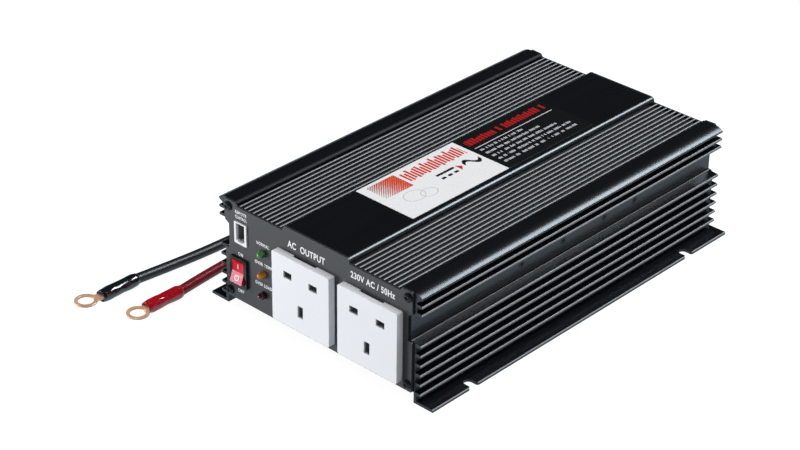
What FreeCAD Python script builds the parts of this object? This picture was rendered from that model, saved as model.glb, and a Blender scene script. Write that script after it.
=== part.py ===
import FreeCAD, Part
import Sketcher
import math
import os

# Mains power inverter in a finned two-part aluminium case.
# Frame: X to the right, Y to the back, Z up.  The front panel faces -Y.
# The origin is the middle of the case footprint on the floor.  Millimetres.

os.makedirs("parts", exist_ok=True)
doc = FreeCAD.newDocument("PowerInverter")
sheet = doc.addObject("Spreadsheet::Sheet", "Dims")
V = FreeCAD.Vector


class Q:
    """A number that remembers the spreadsheet expression it came from."""

    def __init__(self, value, text):
        self.value = float(value)
        self.text = text

    def __add__(self, other):
        return Q(self.value + num(other), "(%s + %s)" % (self.text, txt(other)))

    def __radd__(self, other):
        return Q(num(other) + self.value, "(%s + %s)" % (txt(other), self.text))

    def __sub__(self, other):
        return Q(self.value - num(other), "(%s - %s)" % (self.text, txt(other)))

    def __rsub__(self, other):
        return Q(num(other) - self.value, "(%s - %s)" % (txt(other), self.text))

    def __mul__(self, other):
        return Q(self.value * num(other), "(%s * %s)" % (self.text, txt(other)))

    def __rmul__(self, other):
        return Q(num(other) * self.value, "(%s * %s)" % (txt(other), self.text))

    def __truediv__(self, other):
        return Q(self.value / num(other), "(%s / %s)" % (self.text, txt(other)))

    def __neg__(self):
        return Q(-self.value, "(0 - %s)" % self.text)


def num(q):
    if isinstance(q, Q):
        return q.value
    return float(q)


def txt(q):
    if isinstance(q, Q):
        return q.text
    if q < 0:
        return "(0 - %.6f)" % (-q)
    return "%.6f" % q


rows = {"count": 0}


def dim(name, value, note=""):
    """Put one number in the spreadsheet and hand back a quantity bound to it."""
    rows["count"] += 1
    row = rows["count"]
    sheet.set("A%d" % row, name)
    sheet.set("B%d" % row, "%.6f" % value)
    sheet.setAlias("B%d" % row, name)
    if note:
        sheet.set("C%d" % row, note)
    return Q(value, "Dims." + name)


# ---------------------------------------------------------------- dimensions
front_y = dim("front_y", -152.0, "outer face of the front panel")
panel_thk = dim("panel_thk", 1.5, "front and rear panel sheet")
case_len = dim("case_len", 296.0, "length of both extrusions")
case_top = dim("case_top", 80.0, "top of the plateau")
plateau_half = dim("plateau_half", 29.0, "half width of the plateau")
plateau_round = dim("plateau_round", 3.0, "radius of the plateau edges")
valley_z = dim("valley_z", 74.5, "floor between the top fins")
fin_top_z = dim("fin_top_z", 76.9, "tips of the top fins")
fin_first_x = dim("fin_first_x", 32.5, "first top fin")
fin_pitch = dim("fin_pitch", 4.0, "spacing of the top fins")
fin_thk = dim("fin_thk", 1.3, "thickness of the top fins")
fin_count = 10
wall_thk = dim("wall_thk", 2.2, "extrusion wall")
upper_wall_x = dim("upper_wall_x", 83.5, "outer wall of the cover above the cove")
cove_x = dim("cove_x", 79.3, "outer face of the cove wall")
split_z = dim("split_z", 43.8, "joint between cover and base")
cove_top_z = dim("cove_top_z", 62.9, "top of the cove")
side_tip_x = dim("side_tip_x", 88.3, "tips of the cover side fins")
cover_fin_upper = dim("cover_fin_upper", 70.1, "upper side fin of the cover")
cover_fin_lower = dim("cover_fin_lower", 64.3, "lower side fin of the cover")
base_wall_x = dim("base_wall_x", 83.0, "outer wall of the base")
base_tip_x = dim("base_tip_x", 87.9, "tips of the base side fins")
base_fin_first = dim("base_fin_first", 7.2, "lowest side fin of the base")
base_fin_pitch = dim("base_fin_pitch", 6.99, "spacing of the base side fins")
side_fin_half = dim("side_fin_half", 1.0, "half thickness of the side fins")
body_bottom = dim("body_bottom", 7.5, "underside of the case floor")
foot_x = dim("foot_x", 97.8, "outer edge of the foot flange")
foot_thk = dim("foot_thk", 2.0, "foot flange thickness")
slot_wide = dim("slot_wide", 6.4, "mounting slot width")
slot_in_x = dim("slot_in_x", 89.6, "inner end of a mounting slot")
slot_front = dim("slot_front", 39.1, "front slots, behind the front panel")
slot_rear = dim("slot_rear", 256.3, "rear slots, behind the front panel")
board_z = dim("board_z", 29.9, "underside of the main board")
board_thk = dim("board_thk", 1.6, "circuit board thickness")
board_half = dim("board_half", 80.3, "half width of the main board")
outlet_side = dim("outlet_side", 50.0, "outlet face, square")
outlet_proud = dim("outlet_proud", 5.2, "outlet face in front of the panel")
outlet_left_x = dim("outlet_left_x", -8.6, "left outlet centre")
outlet_right_x = dim("outlet_right_x", 48.8, "right outlet centre")
outlet_z = dim("outlet_z", 37.5, "outlet centre height")
pin_spread = dim("pin_spread", 11.1, "line and neutral slots from the middle")
pin_rise = dim("pin_rise", 12.0, "line and neutral slots above the middle")
earth_drop = dim("earth_drop", 10.2, "earth slot below the middle")
outlet_body = dim("outlet_body", 45.0, "outlet body behind the panel, square")
outlet_deep = dim("outlet_deep", 20.0, "outlet body depth")
shutter_thk = dim("shutter_thk", 3.0, "safety shutter thickness")
switch_x = dim("switch_x", -68.4, "rocker switch centre")
switch_z = dim("switch_z", 29.5, "rocker switch centre height")
bezel_wide = dim("bezel_wide", 15.0, "switch bezel width")
bezel_tall = dim("bezel_tall", 21.0, "switch bezel height")
bezel_proud = dim("bezel_proud", 2.0, "switch bezel in front of the panel")
rocker_wide = dim("rocker_wide", 10.2, "rocker width")
rocker_rad = dim("rocker_rad", 8.32, "rocker end radius about its pivot")
pivot_rad = dim("pivot_rad", 1.0, "rocker trunnion radius")
pivot_gap = dim("pivot_gap", 0.05, "rocker trunnion running clearance")
jack_x = dim("jack_x", -66.5, "remote jack centre")
jack_z = dim("jack_z", 58.25, "remote jack centre height")
led_x = dim("led_x", -46.8, "indicator column")
led_rad = dim("led_rad", 2.5, "indicator dome radius")
led_proud = dim("led_proud", 5.0, "indicator dome in front of the panel")
led_normal_z = dim("led_normal_z", 52.0, "running indicator")
led_temp_z = dim("led_temp_z", 36.6, "over temperature indicator")
led_load_z = dim("led_load_z", 21.2, "overload indicator")
screw_x = dim("screw_x", 78.0, "panel screws from the middle")
screw_top_z = dim("screw_top_z", 74.3, "upper panel screws")
screw_low_z = dim("screw_low_z", 12.3, "lower panel screws")
screw_head_rad = dim("screw_head_rad", 3.2, "panel screw head radius")
screw_head_high = dim("screw_head_high", 2.0, "panel screw head height")
screw_rad = dim("screw_rad", 1.4, "panel screw shank radius")
screw_gap = dim("screw_gap", 0.3, "clearance round a screw shank")
label_thk = dim("label_thk", 0.2, "printed label thickness")
label_left = dim("label_left", -26.0, "label left edge")
label_right = dim("label_right", 23.7, "label right edge")
label_front = dim("label_front", 62.0, "label front edge behind the panel")
label_rear = dim("label_rear", 239.0, "label rear edge behind the panel")
fan_x = dim("fan_x", 38.0, "fan axis")
fan_z = dim("fan_z", 41.0, "fan axis height")
fan_side = dim("fan_side", 60.0, "fan frame, square")
fan_deep = dim("fan_deep", 15.0, "fan frame depth")
fan_bore = dim("fan_bore", 28.7, "fan duct radius")
fan_hole = dim("fan_hole", 25.0, "fan screws from the fan axis")
hub_rad = dim("hub_rad", 13.5, "fan hub radius")
blade_tip = dim("blade_tip", 27.9, "fan blade tip radius")
shaft_rad = dim("shaft_rad", 1.5, "fan shaft radius")
shaft_gap = dim("shaft_gap", 0.05, "fan shaft running clearance")
gland_z = dim("gland_z", 32.0, "supply lead height at the rear panel")
gland_red_x = dim("gland_red_x", -32.0, "red supply lead")
gland_black_x = dim("gland_black_x", -10.0, "black supply lead")
gland_out = dim("gland_out", 15.0, "lead bushing behind the rear panel")
lead_rad = dim("lead_rad", 3.5, "supply lead radius")
clamp_z = dim("clamp_z", 53.3, "clamp screws in the cove")
clamp_first = dim("clamp_first", 102.3, "first clamp screw behind the panel")
clamp_second = dim("clamp_second", 142.8, "second clamp screw")
clamp_third = dim("clamp_third", 184.3, "third clamp screw")
clamp_fourth = dim("clamp_fourth", 215.5, "fourth clamp screw")
clamp_head = dim("clamp_head", 2.3, "clamp screw head radius")
stud_x = dim("stud_x", -70.0, "earth stud")
stud_z = dim("stud_z", 57.0, "earth stud height")
stud_rad = dim("stud_rad", 2.0, "free tip radius of the earth stud")
stud_core = dim("stud_core", 2.5, "earth stud radius through the panel and nut")
stud_out = dim("stud_out", 10.2, "earth stud behind the rear panel")
core_wide = dim("core_wide", 42.0, "transformer core width")
core_deep = dim("core_deep", 16.0, "transformer core depth")
core_tall = dim("core_tall", 36.0, "transformer core height")
ring_thk = dim("ring_thk", 1.5, "terminal ring sheet")
ring_rad = dim("ring_rad", 7.7, "terminal ring outer radius")
ring_hole = dim("ring_hole", 5.2, "terminal ring hole radius")

rear_in = front_y + panel_thk + case_len
rear_out = rear_in + panel_thk
board_top = board_z + board_thk
doc.recompute()

# ------------------------------------------------------------------- helpers
nodes = []
extra = {}


def publish(obj, name):
    """Mark an object as a finished piece of the assembly."""
    obj.Label = name
    nodes.append((name, obj))
    return obj


def unique(name):
    extra[name] = extra.get(name, 0) + 1
    return "%s_%d" % (name, extra[name])


def place(obj, x, y, z, rotation=None):
    """Bind the position of an object to quantities."""
    turn = rotation or FreeCAD.Rotation()
    obj.Placement = FreeCAD.Placement(V(num(x), num(y), num(z)), turn)
    for axis, value in (("x", x), ("y", y), ("z", z)):
        if isinstance(value, Q):
            obj.setExpression("Placement.Base." + axis, value.text)
    return obj


def bind(obj, prop, value):
    setattr(obj, prop, num(value))
    if isinstance(value, Q):
        obj.setExpression(prop, value.text)


TO_X = FreeCAD.Rotation(V(0, 1, 0), 90)
TO_Y = FreeCAD.Rotation(V(1, 0, 0), -90)
TO_Z = FreeCAD.Rotation()
TURN = {"X": TO_X, "Y": TO_Y, "Z": TO_Z}


def box(name, low, size):
    obj = doc.addObject("Part::Box", unique(name))
    bind(obj, "Length", size[0])
    bind(obj, "Width", size[1])
    bind(obj, "Height", size[2])
    return place(obj, low[0], low[1], low[2])


def rod(name, start, radius, length, axis="Y"):
    obj = doc.addObject("Part::Cylinder", unique(name))
    bind(obj, "Radius", radius)
    bind(obj, "Height", length)
    return place(obj, start[0], start[1], start[2], TURN[axis])


def cone(name, start, radius_a, radius_b, length, axis="Y"):
    obj = doc.addObject("Part::Cone", unique(name))
    bind(obj, "Radius1", radius_a)
    bind(obj, "Radius2", radius_b)
    bind(obj, "Height", length)
    return place(obj, start[0], start[1], start[2], TURN[axis])


def torus(name, centre, ring, wire, axis="Y"):
    obj = doc.addObject("Part::Torus", unique(name))
    bind(obj, "Radius1", ring)
    bind(obj, "Radius2", wire)
    return place(obj, centre[0], centre[1], centre[2], TURN[axis])


def hexagon(name, start, across, length, axis="Y"):
    obj = doc.addObject("Part::Prism", unique(name))
    obj.Polygon = 6
    bind(obj, "Circumradius", across / math.sqrt(3.0))
    bind(obj, "Height", length)
    return place(obj, start[0], start[1], start[2], TURN[axis])


def fuse(name, parts):
    if len(parts) == 1:
        return parts[0]
    obj = doc.addObject("Part::MultiFuse", unique(name))
    obj.Shapes = parts
    return obj


def cut(name, base, tools):
    obj = doc.addObject("Part::Cut", unique(name))
    obj.Base = base
    obj.Tool = fuse(name + "_tool", tools)
    return obj


def common(name, first, second):
    obj = doc.addObject("Part::Common", unique(name))
    obj.Base = first
    obj.Tool = second
    return obj


def group(name, parts):
    """Several separate solids that make one piece set."""
    obj = doc.addObject("Part::Compound", unique(name))
    obj.Links = parts
    return obj


def new_body(name):
    return doc.addObject("PartDesign::Body", unique(name))


def origin_plane(body, role):
    for item in body.Origin.OriginFeatures:
        if item.Role == role:
            return item
    raise RuntimeError(role)


def pin_point(sketch, geometry, position, a, b):
    """Fix one point of a sketch at quantities a, b."""
    for kind, value in (("DistanceX", a), ("DistanceY", b)):
        rule = Sketcher.Constraint(kind, -1, 1, geometry, position, num(value))
        index = sketch.addConstraint(rule)
        if isinstance(value, Q):
            sketch.setExpression("Constraints[%d]" % index, value.text)


def arc_between(start, end, radius):
    """Minor arc, bulging to the left of travel when the radius is positive."""
    chord = end.sub(start)
    length = chord.Length
    size = max(abs(radius), length / 2 * 1.0001)
    middle = start.add(end).multiply(0.5)
    left = V(-chord.y / length, chord.x / length, 0)
    sag = math.sqrt(max(size * size - length * length / 4, 0))
    side = -1.0 if radius > 0 else 1.0
    centre = middle.add(V(left.x * sag * side, left.y * sag * side, 0))
    angle_a = math.atan2(start.y - centre.y, start.x - centre.x)
    angle_b = math.atan2(end.y - centre.y, end.x - centre.x)
    circle = Part.Circle(centre, V(0, 0, 1), size)
    if radius > 0:
        return Part.ArcOfCircle(circle, angle_b, angle_a), True, size
    return Part.ArcOfCircle(circle, angle_a, angle_b), False, size


def add_loop(sketch, points):
    """Closed outline.  A third number in a point makes an arc to the next point."""
    count = len(points)
    spots = [V(num(p[0]), num(p[1]), 0) for p in points]
    first = sketch.GeometryCount
    ends = []
    radii = []
    for i in range(count):
        following = spots[(i + 1) % count]
        if len(points[i]) > 2:
            arc, flipped, size = arc_between(spots[i], following, num(points[i][2]))
            index = sketch.addGeometry(arc, False)
            ends.append((index, 2 if flipped else 1, 1 if flipped else 2))
            radii.append((index, size))
        else:
            index = sketch.addGeometry(Part.LineSegment(spots[i], following), False)
            ends.append((index, 1, 2))
    for i in range(count):
        here = ends[i]
        then = ends[(i + 1) % count]
        rule = Sketcher.Constraint("Coincident", here[0], here[2], then[0], then[1])
        sketch.addConstraint(rule)
    for index, size in radii:
        sketch.addConstraint(Sketcher.Constraint("Radius", index, size))
    for i in range(count):
        pin_point(sketch, ends[i][0], ends[i][1], points[i][0], points[i][1])
    return first


def add_circle(sketch, a, b, radius):
    index = sketch.addGeometry(Part.Circle(V(num(a), num(b), 0), V(0, 0, 1), num(radius)), False)
    pin_point(sketch, index, 3, a, b)
    rule = sketch.addConstraint(Sketcher.Constraint("Radius", index, num(radius)))
    if isinstance(radius, Q):
        sketch.setExpression("Constraints[%d]" % rule, radius.text)


def add_sketch(body, role, loops, circles=(), offset=0.0):
    """Sketch on one of the body's own origin planes, moved along its normal."""
    sketch = body.newObject("Sketcher::SketchObject", unique("Sketch"))
    sketch.AttachmentSupport = [(origin_plane(body, role), "")]
    sketch.MapMode = "FlatFace"
    sketch.AttachmentOffset = FreeCAD.Placement(V(0, 0, num(offset)), FreeCAD.Rotation())
    if isinstance(offset, Q):
        sketch.setExpression("AttachmentOffset.Base.z", offset.text)
    for loop in loops:
        add_loop(sketch, loop)
    for a, b, radius in circles:
        add_circle(sketch, a, b, radius)
    return sketch


def add_pad(body, sketch, length, backwards=False):
    pad = body.newObject("PartDesign::Pad", unique("Pad"))
    pad.Profile = sketch
    bind(pad, "Length", length)
    pad.Reversed = backwards
    body.Tip = pad
    return pad


def add_pocket(body, sketch, length, both=False, backwards=False):
    pocket = body.newObject("PartDesign::Pocket", unique("Pocket"))
    pocket.Profile = sketch
    bind(pocket, "Length", length)
    if both:
        pocket.Midplane = True
    pocket.Reversed = backwards
    body.Tip = pocket
    return pocket


def slab_y(body, loops, circles, y_low, depth):
    """Pad of an XZ outline from y_low towards the back."""
    sketch = add_sketch(body, "XZ_Plane", loops, circles, -y_low if isinstance(y_low, Q) else -1.0 * y_low)
    return add_pad(body, sketch, depth, True)


def rect(a_low, b_low, a_high, b_high):
    return [(a_low, b_low), (a_high, b_low), (a_high, b_high), (a_low, b_high)]


def soft_rect(a_low, b_low, a_high, b_high, r):
    """Rectangle with round corners, counter-clockwise."""
    return [
        (a_low + r, b_low),
        (a_high - r, b_low, -r),
        (a_high, b_low + r),
        (a_high, b_high - r, -r),
        (a_high - r, b_high),
        (a_low + r, b_high, -r),
        (a_low, b_high - r),
        (a_low, b_low + r, -r),
    ]


def centred(cx, cz, wide, tall, r=None):
    if r is None:
        return rect(cx - wide / 2, cz - tall / 2, cx + wide / 2, cz + tall / 2)
    return soft_rect(cx - wide / 2, cz - tall / 2, cx + wide / 2, cz + tall / 2, r)


# ----------------------------------------------------------------- extrusions
def side_fin(wall_x, tip_x, z):
    """Outline of one side fin, travelling down the outside."""
    h = side_fin_half
    return [
        (wall_x, z + h),
        (tip_x - h, z + h, 1.0),
        (tip_x - h, z - h),
        (wall_x, z - h),
    ]


def top_cover():
    body = new_body("top_cover")
    p = plateau_half
    c = plateau_round
    outline = [(0, case_top), (p - c, case_top, num(c)), (p, case_top - c), (p, valley_z)]
    outline += [(71.2, valley_z), (71.2, 77.6, 1.2), (72.4, 78.6), (80.4, 78.9, 12.0)]
    outline += [(87.4, 76.9, 1.0), (side_tip_x - 0.6, 75.1), (upper_wall_x, 72.6)]
    outline += side_fin(upper_wall_x, side_tip_x, cover_fin_upper)
    low_fin = side_fin(upper_wall_x, side_tip_x, cover_fin_lower)
    outline += low_fin[:3]
    outline += [(82.8, cover_fin_lower - 1.0, -3.5), (cove_x, 59.8)]
    outline += [(cove_x, split_z), (cove_x - wall_thk, split_z), (cove_x - wall_thk, 60.9)]
    outline += [(78.3, 63.6), (upper_wall_x - wall_thk, 65.4), (upper_wall_x - wall_thk, 70.9)]
    outline += [(75.6, 70.9), (75.6, valley_z - wall_thk), (27.2, valley_z - wall_thk)]
    outline += [(26.4, case_top - 2.4), (0, case_top - 2.4)]
    ports = [(screw_x, screw_top_z, screw_rad + screw_gap)]
    half = slab_y(body, [outline], ports, front_y + panel_thk, case_len)
    f = fin_first_x
    t = fin_thk / 2
    fin = [(f - t, valley_z - 0.3), (f + t, valley_z - 0.3), (f + t, fin_top_z - 0.5, -0.66)]
    fin += [(f - t, fin_top_z - 0.5)]
    fin_sketch = add_sketch(body, "XZ_Plane", [fin], [], -(front_y + panel_thk))
    fin_pad = add_pad(body, fin_sketch, case_len, True)
    run = body.newObject("PartDesign::LinearPattern", "TopFins")
    run.Originals = [fin_pad]
    run.Direction = (fin_sketch, ["H_Axis"])
    run.Occurrences = fin_count
    bind(run, "Length", fin_pitch * (fin_count - 1))
    body.Tip = run
    doc.recompute()
    both = body.newObject("PartDesign::Mirrored", "CoverBothSides")
    both.TransformMode = "Whole shape"
    both.MirrorPlane = (origin_plane(body, "YZ_Plane"), [""])
    body.Tip = both
    spots = [clamp_first, clamp_second, clamp_third, clamp_fourth]
    holes = [(front_y + s, clamp_z, 1.8) for s in spots]
    through = add_sketch(body, "YZ_Plane", [], holes, 0.0)
    add_pocket(body, through, 170.0, both=True)
    for side in (1, -1):
        seats = [(front_y + s, clamp_z, clamp_head + screw_gap) for s in spots]
        seat = add_sketch(body, "YZ_Plane", [], seats, (cove_x - 1.0) * side)
        add_pocket(body, seat, 6.0, backwards=(side > 0))
    return publish(body, "top_cover")


def base_extrusion():
    body = new_body("base_extrusion")
    w = base_wall_x
    inner = w - wall_thk
    floor_top = body_bottom + wall_thk
    outline = [(0, floor_top), (75.2, floor_top), (75.2, 15.4), (inner, 15.4)]
    outline += [(inner, board_z - 1.7), (inner - 3.2, board_z - 1.7), (inner - 3.2, board_z)]
    outline += [(inner, board_z), (inner, board_top + 0.3), (inner - 3.2, board_top + 0.3)]
    outline += [(inner - 3.2, board_top + 1.9), (inner, board_top + 1.9), (inner, split_z - wall_thk)]
    outline += [(cove_x - wall_thk, split_z - wall_thk), (cove_x - wall_thk, split_z)]
    outline += [(cove_x + 0.12, split_z), (cove_x + 0.12, 44.0, 0.46), (cove_x + 1.0, 44.0)]
    outline += [(cove_x + 1.0, 43.7)]
    top_fin = side_fin(w, base_tip_x, base_fin_first + base_fin_pitch * 5)
    outline += top_fin[1:]
    for step in (4, 3, 2, 1):
        outline += side_fin(w, base_tip_x, base_fin_first + base_fin_pitch * step)
    low = side_fin(w, base_tip_x, base_fin_first)
    outline += low[:3]
    outline += [(w + 1.0, base_fin_first - side_fin_half), (w + 1.0, foot_thk)]
    outline += [(foot_x - 0.7, foot_thk, 0.7), (foot_x, foot_thk - 0.7), (foot_x, 0)]
    outline += [(w - 1.0, 0), (w - 1.0, body_bottom), (0, body_bottom)]
    ports = [(screw_x, screw_low_z, screw_rad + screw_gap)]
    slab_y(body, [outline], ports, front_y + panel_thk, case_len)
    doc.recompute()
    both = body.newObject("PartDesign::Mirrored", "BaseBothSides")
    both.TransformMode = "Whole shape"
    both.MirrorPlane = (origin_plane(body, "YZ_Plane"), [""])
    body.Tip = both
    loops = []
    r = slot_wide / 2
    for along in (slot_front, slot_rear):
        y = front_y + along
        right = [(foot_x + 3, y + r + 1.208), (foot_x - 0.1, y + r + 1.208, 1.8)]
        right += [(foot_x - 1.8, y + r), (slot_in_x + r, y + r, -3.21), (slot_in_x + r, y - r)]
        right += [(foot_x - 1.8, y - r, 1.8), (foot_x - 0.1, y - r - 1.208), (foot_x + 3, y - r - 1.208)]
        loops.append(right)
        left = [(-foot_x - 3, y - r - 1.208), (-foot_x + 0.1, y - r - 1.208, 1.8)]
        left += [(-foot_x + 1.8, y - r), (-slot_in_x - r, y - r, -3.21), (-slot_in_x - r, y + r)]
        left += [(-foot_x + 1.8, y + r, 1.8), (-foot_x + 0.1, y + r + 1.208), (-foot_x - 3, y + r + 1.208)]
        loops.append(left)
    slots = add_sketch(body, "XY_Plane", loops, [], -1.0)
    add_pocket(body, slots, 5.0, backwards=True)
    return publish(body, "base_extrusion")


# --------------------------------------------------------------------- panels
def panel_outline():
    x = 81.3
    n = 77.8
    v = 76.4
    p = plateau_half
    right = [(p, v), (71.0, v), (72.6, 78.6), (x - 0.8, 78.9, 0.8), (x, 78.1), (x, 63.2)]
    right += [(x - 1.4, 62.6), (n, 61.2), (n, split_z), (x - 0.6, 43.4), (x, 42.8)]
    right += [(x, body_bottom + 0.6, 0.6), (x - 0.6, body_bottom)]
    top_right = [(p - plateau_round, case_top, num(plateau_round)), (p, case_top - plateau_round)]
    half = top_right + right
    left = []
    for i in range(len(half) - 1, -1, -1):
        here = half[i]
        spot = (-1.0 * num(here[0]) if not isinstance(here[0], Q) else -here[0], here[1])
        if i > 0 and len(half[i - 1]) > 2:
            spot = spot + (half[i - 1][2],)
        left.append(spot)
    return half + left


def panel_screw_spots():
    spots = []
    for side in (1, -1):
        spots.append((screw_x * side, screw_top_z))
        spots.append((screw_x * side, screw_low_z))
    return spots


def front_panel():
    body = new_body("front_panel")
    loops = [panel_outline()]
    for cx in (outlet_left_x, outlet_right_x):
        loops.append(centred(cx, outlet_z, outlet_body + 0.6, outlet_body + 0.6, 1.0))
    loops.append(centred(switch_x, switch_z, 13.4, 19.4))
    loops.append(centred(jack_x, jack_z, 10.2, 14.7))
    circles = [(a, b, screw_rad + 0.4) for a, b in panel_screw_spots()]
    for z in (led_normal_z, led_temp_z, led_load_z):
        circles.append((led_x, z, led_rad + 0.3))
    slab_y(body, loops, circles, front_y, panel_thk)
    return publish(body, "front_panel")


def rear_panel():
    body = new_body("rear_panel")
    circles = [(a, b, screw_rad + 0.4) for a, b in panel_screw_spots()]
    circles.append((fan_x, fan_z, 28.2))
    for dx in (1, -1):
        for dz in (1, -1):
            circles.append((fan_x + fan_hole * dx, fan_z + fan_hole * dz, 2.2))
    circles.append((gland_red_x, gland_z, 6.2))
    circles.append((gland_black_x, gland_z, 6.2))
    circles.append((stud_x, stud_z, stud_core + screw_gap))
    slab_y(body, [panel_outline()], circles, rear_in, panel_thk)
    return publish(body, "rear_panel")


def pan_screw(name, x, y_face, z, towards):
    """Pan head screw whose head sits on y_face; towards is the way the head looks."""
    r = screw_head_rad
    high = screw_head_high
    if towards < 0:
        head = rod(name, (x, y_face - high * 0.45, z), r, high * 0.45)
        dome_turn = FreeCAD.Rotation(V(1, 0, 0), 90)
        start = y_face - high * 0.45
        shank_start = y_face
    else:
        head = rod(name, (x, y_face, z), r, high * 0.45)
        dome_turn = TO_Y
        start = y_face + high * 0.45
        shank_start = y_face - 9.0
    dome = doc.addObject("Part::Cone", unique(name))
    bind(dome, "Radius1", r)
    bind(dome, "Radius2", r - 1.1)
    bind(dome, "Height", high * 0.55)
    place(dome, x, start, z, dome_turn)
    shank = rod(name, (x, shank_start, z), screw_rad, 9.0)
    whole = fuse(name, [head, dome, shank])
    face = y_face - high if towards < 0 else y_face + high - 1.1
    bar = box(name, (x - 1.7, face - 0.1, z - 0.4), (3.4, 1.2, 0.8))
    post = box(name, (x - 0.4, face - 0.1, z - 1.7), (0.8, 1.2, 3.4))
    return cut(name, whole, [bar, post])


def panel_screws():
    front = [pan_screw("fscrew", a, front_y, b, -1) for a, b in panel_screw_spots()]
    rear = [pan_screw("rscrew", a, rear_out, b, 1) for a, b in panel_screw_spots()]
    publish(group("front_panel_screws", front), "front_panel_screws")
    publish(group("rear_panel_screws", rear), "rear_panel_screws")


# -------------------------------------------------------------------- outlets
def outlet(side, cx):
    """Square three pin outlet, earth slot at the bottom, with a sliding shutter."""
    body = new_body("outlet_" + side)
    place(body, cx, front_y, outlet_z)
    s = outlet_side / 2
    inner = outlet_body / 2 - 1.5
    face = soft_rect(-s, -s, s, s, 1.2)
    slots = [centred(pin_spread, pin_rise, 7.2, 4.8), centred(-pin_spread, pin_rise, 7.2, 4.8)]
    slots.append(centred(Q(0, "0"), -earth_drop, 4.7, 8.6))
    slab_y(body, [face] + slots, [], -outlet_proud, outlet_proud - 1.0)
    skirt = soft_rect(-s, -s, s, s, 1.2)
    slab_y(body, [skirt, rect(-inner, -inner, inner, inner)], [], -1.0, 1.0)
    shell = soft_rect(-outlet_body / 2, -outlet_body / 2, outlet_body / 2, outlet_body / 2, 1.0)
    slab_y(body, [shell, rect(-inner, -inner, inner, inner)], [], 0.0, outlet_deep)
    rail_left = rect(-inner - 0.2, 3.0, -16.7, inner + 0.2)
    rail_right = rect(16.7, 3.0, inner + 0.2, inner + 0.2)
    slab_y(body, [rail_left, rail_right], [], -1.1, 3.4)
    keep_left = rect(-inner - 0.2, 3.0, -14.6, inner + 0.2)
    keep_right = rect(14.6, 3.0, inner + 0.2, inner + 0.2)
    slab_y(body, [keep_left, keep_right], [], 2.3, 1.2)
    stop_left = rect(-16.9, 6.0, -14.0, 9.1)
    stop_right = rect(14.0, 6.0, 16.9, 9.1)
    slab_y(body, [stop_left, stop_right], [], -1.1, 3.5)
    back = soft_rect(-outlet_body / 2, -outlet_body / 2, outlet_body / 2, outlet_body / 2, 1.0)
    holes = [centred(pin_spread, pin_rise, 7.0, 5.0), centred(-pin_spread, pin_rise, 7.0, 5.0)]
    holes.append(centred(Q(0, "0"), -earth_drop, 5.0, 7.0))
    slab_y(body, [back] + holes, [], outlet_deep, 1.6)
    notch = rect(-10.0, s - 1.4, 10.0, s + 1.0)
    cut_top = add_sketch(body, "XZ_Plane", [notch], [], 0.6)
    add_pocket(body, cut_top, 2.2, both=True)
    notch_low = rect(-10.0, -s - 1.0, 10.0, -s + 1.4)
    cut_low = add_sketch(body, "XZ_Plane", [notch_low], [], 0.6)
    add_pocket(body, cut_low, 2.2, both=True)
    for height, low in ((outlet_body / 2 - 0.1, 0.0), (-outlet_body / 2 - 1.1, 0.0)):
        clip = rect(-5.0, height, 5.0, height + 1.2)
        slab_y(body, [clip], [], panel_thk + 0.2, 5.0)
    publish(body, "outlet_" + side)

    gate = new_body("shutter_" + side)
    place(gate, cx, front_y, outlet_z)
    tee = [(-16.5, 9.2), (-3.4, 9.2), (-3.4, -10.6), (3.4, -10.6), (3.4, 9.2), (16.5, 9.2)]
    tee += [(16.5, 14.8), (-16.5, 14.8)]
    slab_y(gate, [tee], [], -0.85, shutter_thk)
    ramp = [(-1.0, -11.0), (2.6, -11.0), (-1.0, -7.4)]
    wedge = add_sketch(gate, "YZ_Plane", [ramp], [], 0.0)
    add_pocket(gate, wedge, 10.0, both=True)
    publish(gate, "shutter_" + side)

    metal = []
    for x in (pin_spread, -pin_spread):
        for z in (2.15, -2.85):
            metal.append(box("clip", (cx + x - 3.2, front_y + 5.0, outlet_z + pin_rise + z), (6.4, 13.0, 0.7)))
        metal.append(box("clip", (cx + x - 3.2, front_y + 17.3, outlet_z + pin_rise - 2.85), (6.4, 0.7, 5.7)))
        metal.append(box("clip", (cx + x - 3.0, front_y + 17.5, outlet_z + pin_rise - 2.0), (6.0, 8.0, 4.0)))
    for x in (2.15, -2.85):
        metal.append(box("clip", (cx + x, front_y + 4.2, outlet_z - earth_drop - 4.0), (0.7, 13.8, 8.0)))
    metal.append(box("clip", (cx - 2.85, front_y + 17.3, outlet_z - earth_drop - 4.0), (5.7, 0.7, 8.0)))
    metal.append(box("clip", (cx - 2.0, front_y + 17.5, outlet_z - earth_drop - 3.0), (4.0, 8.0, 6.0)))
    publish(fuse("contacts_" + side, metal), "contacts_" + side)


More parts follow.
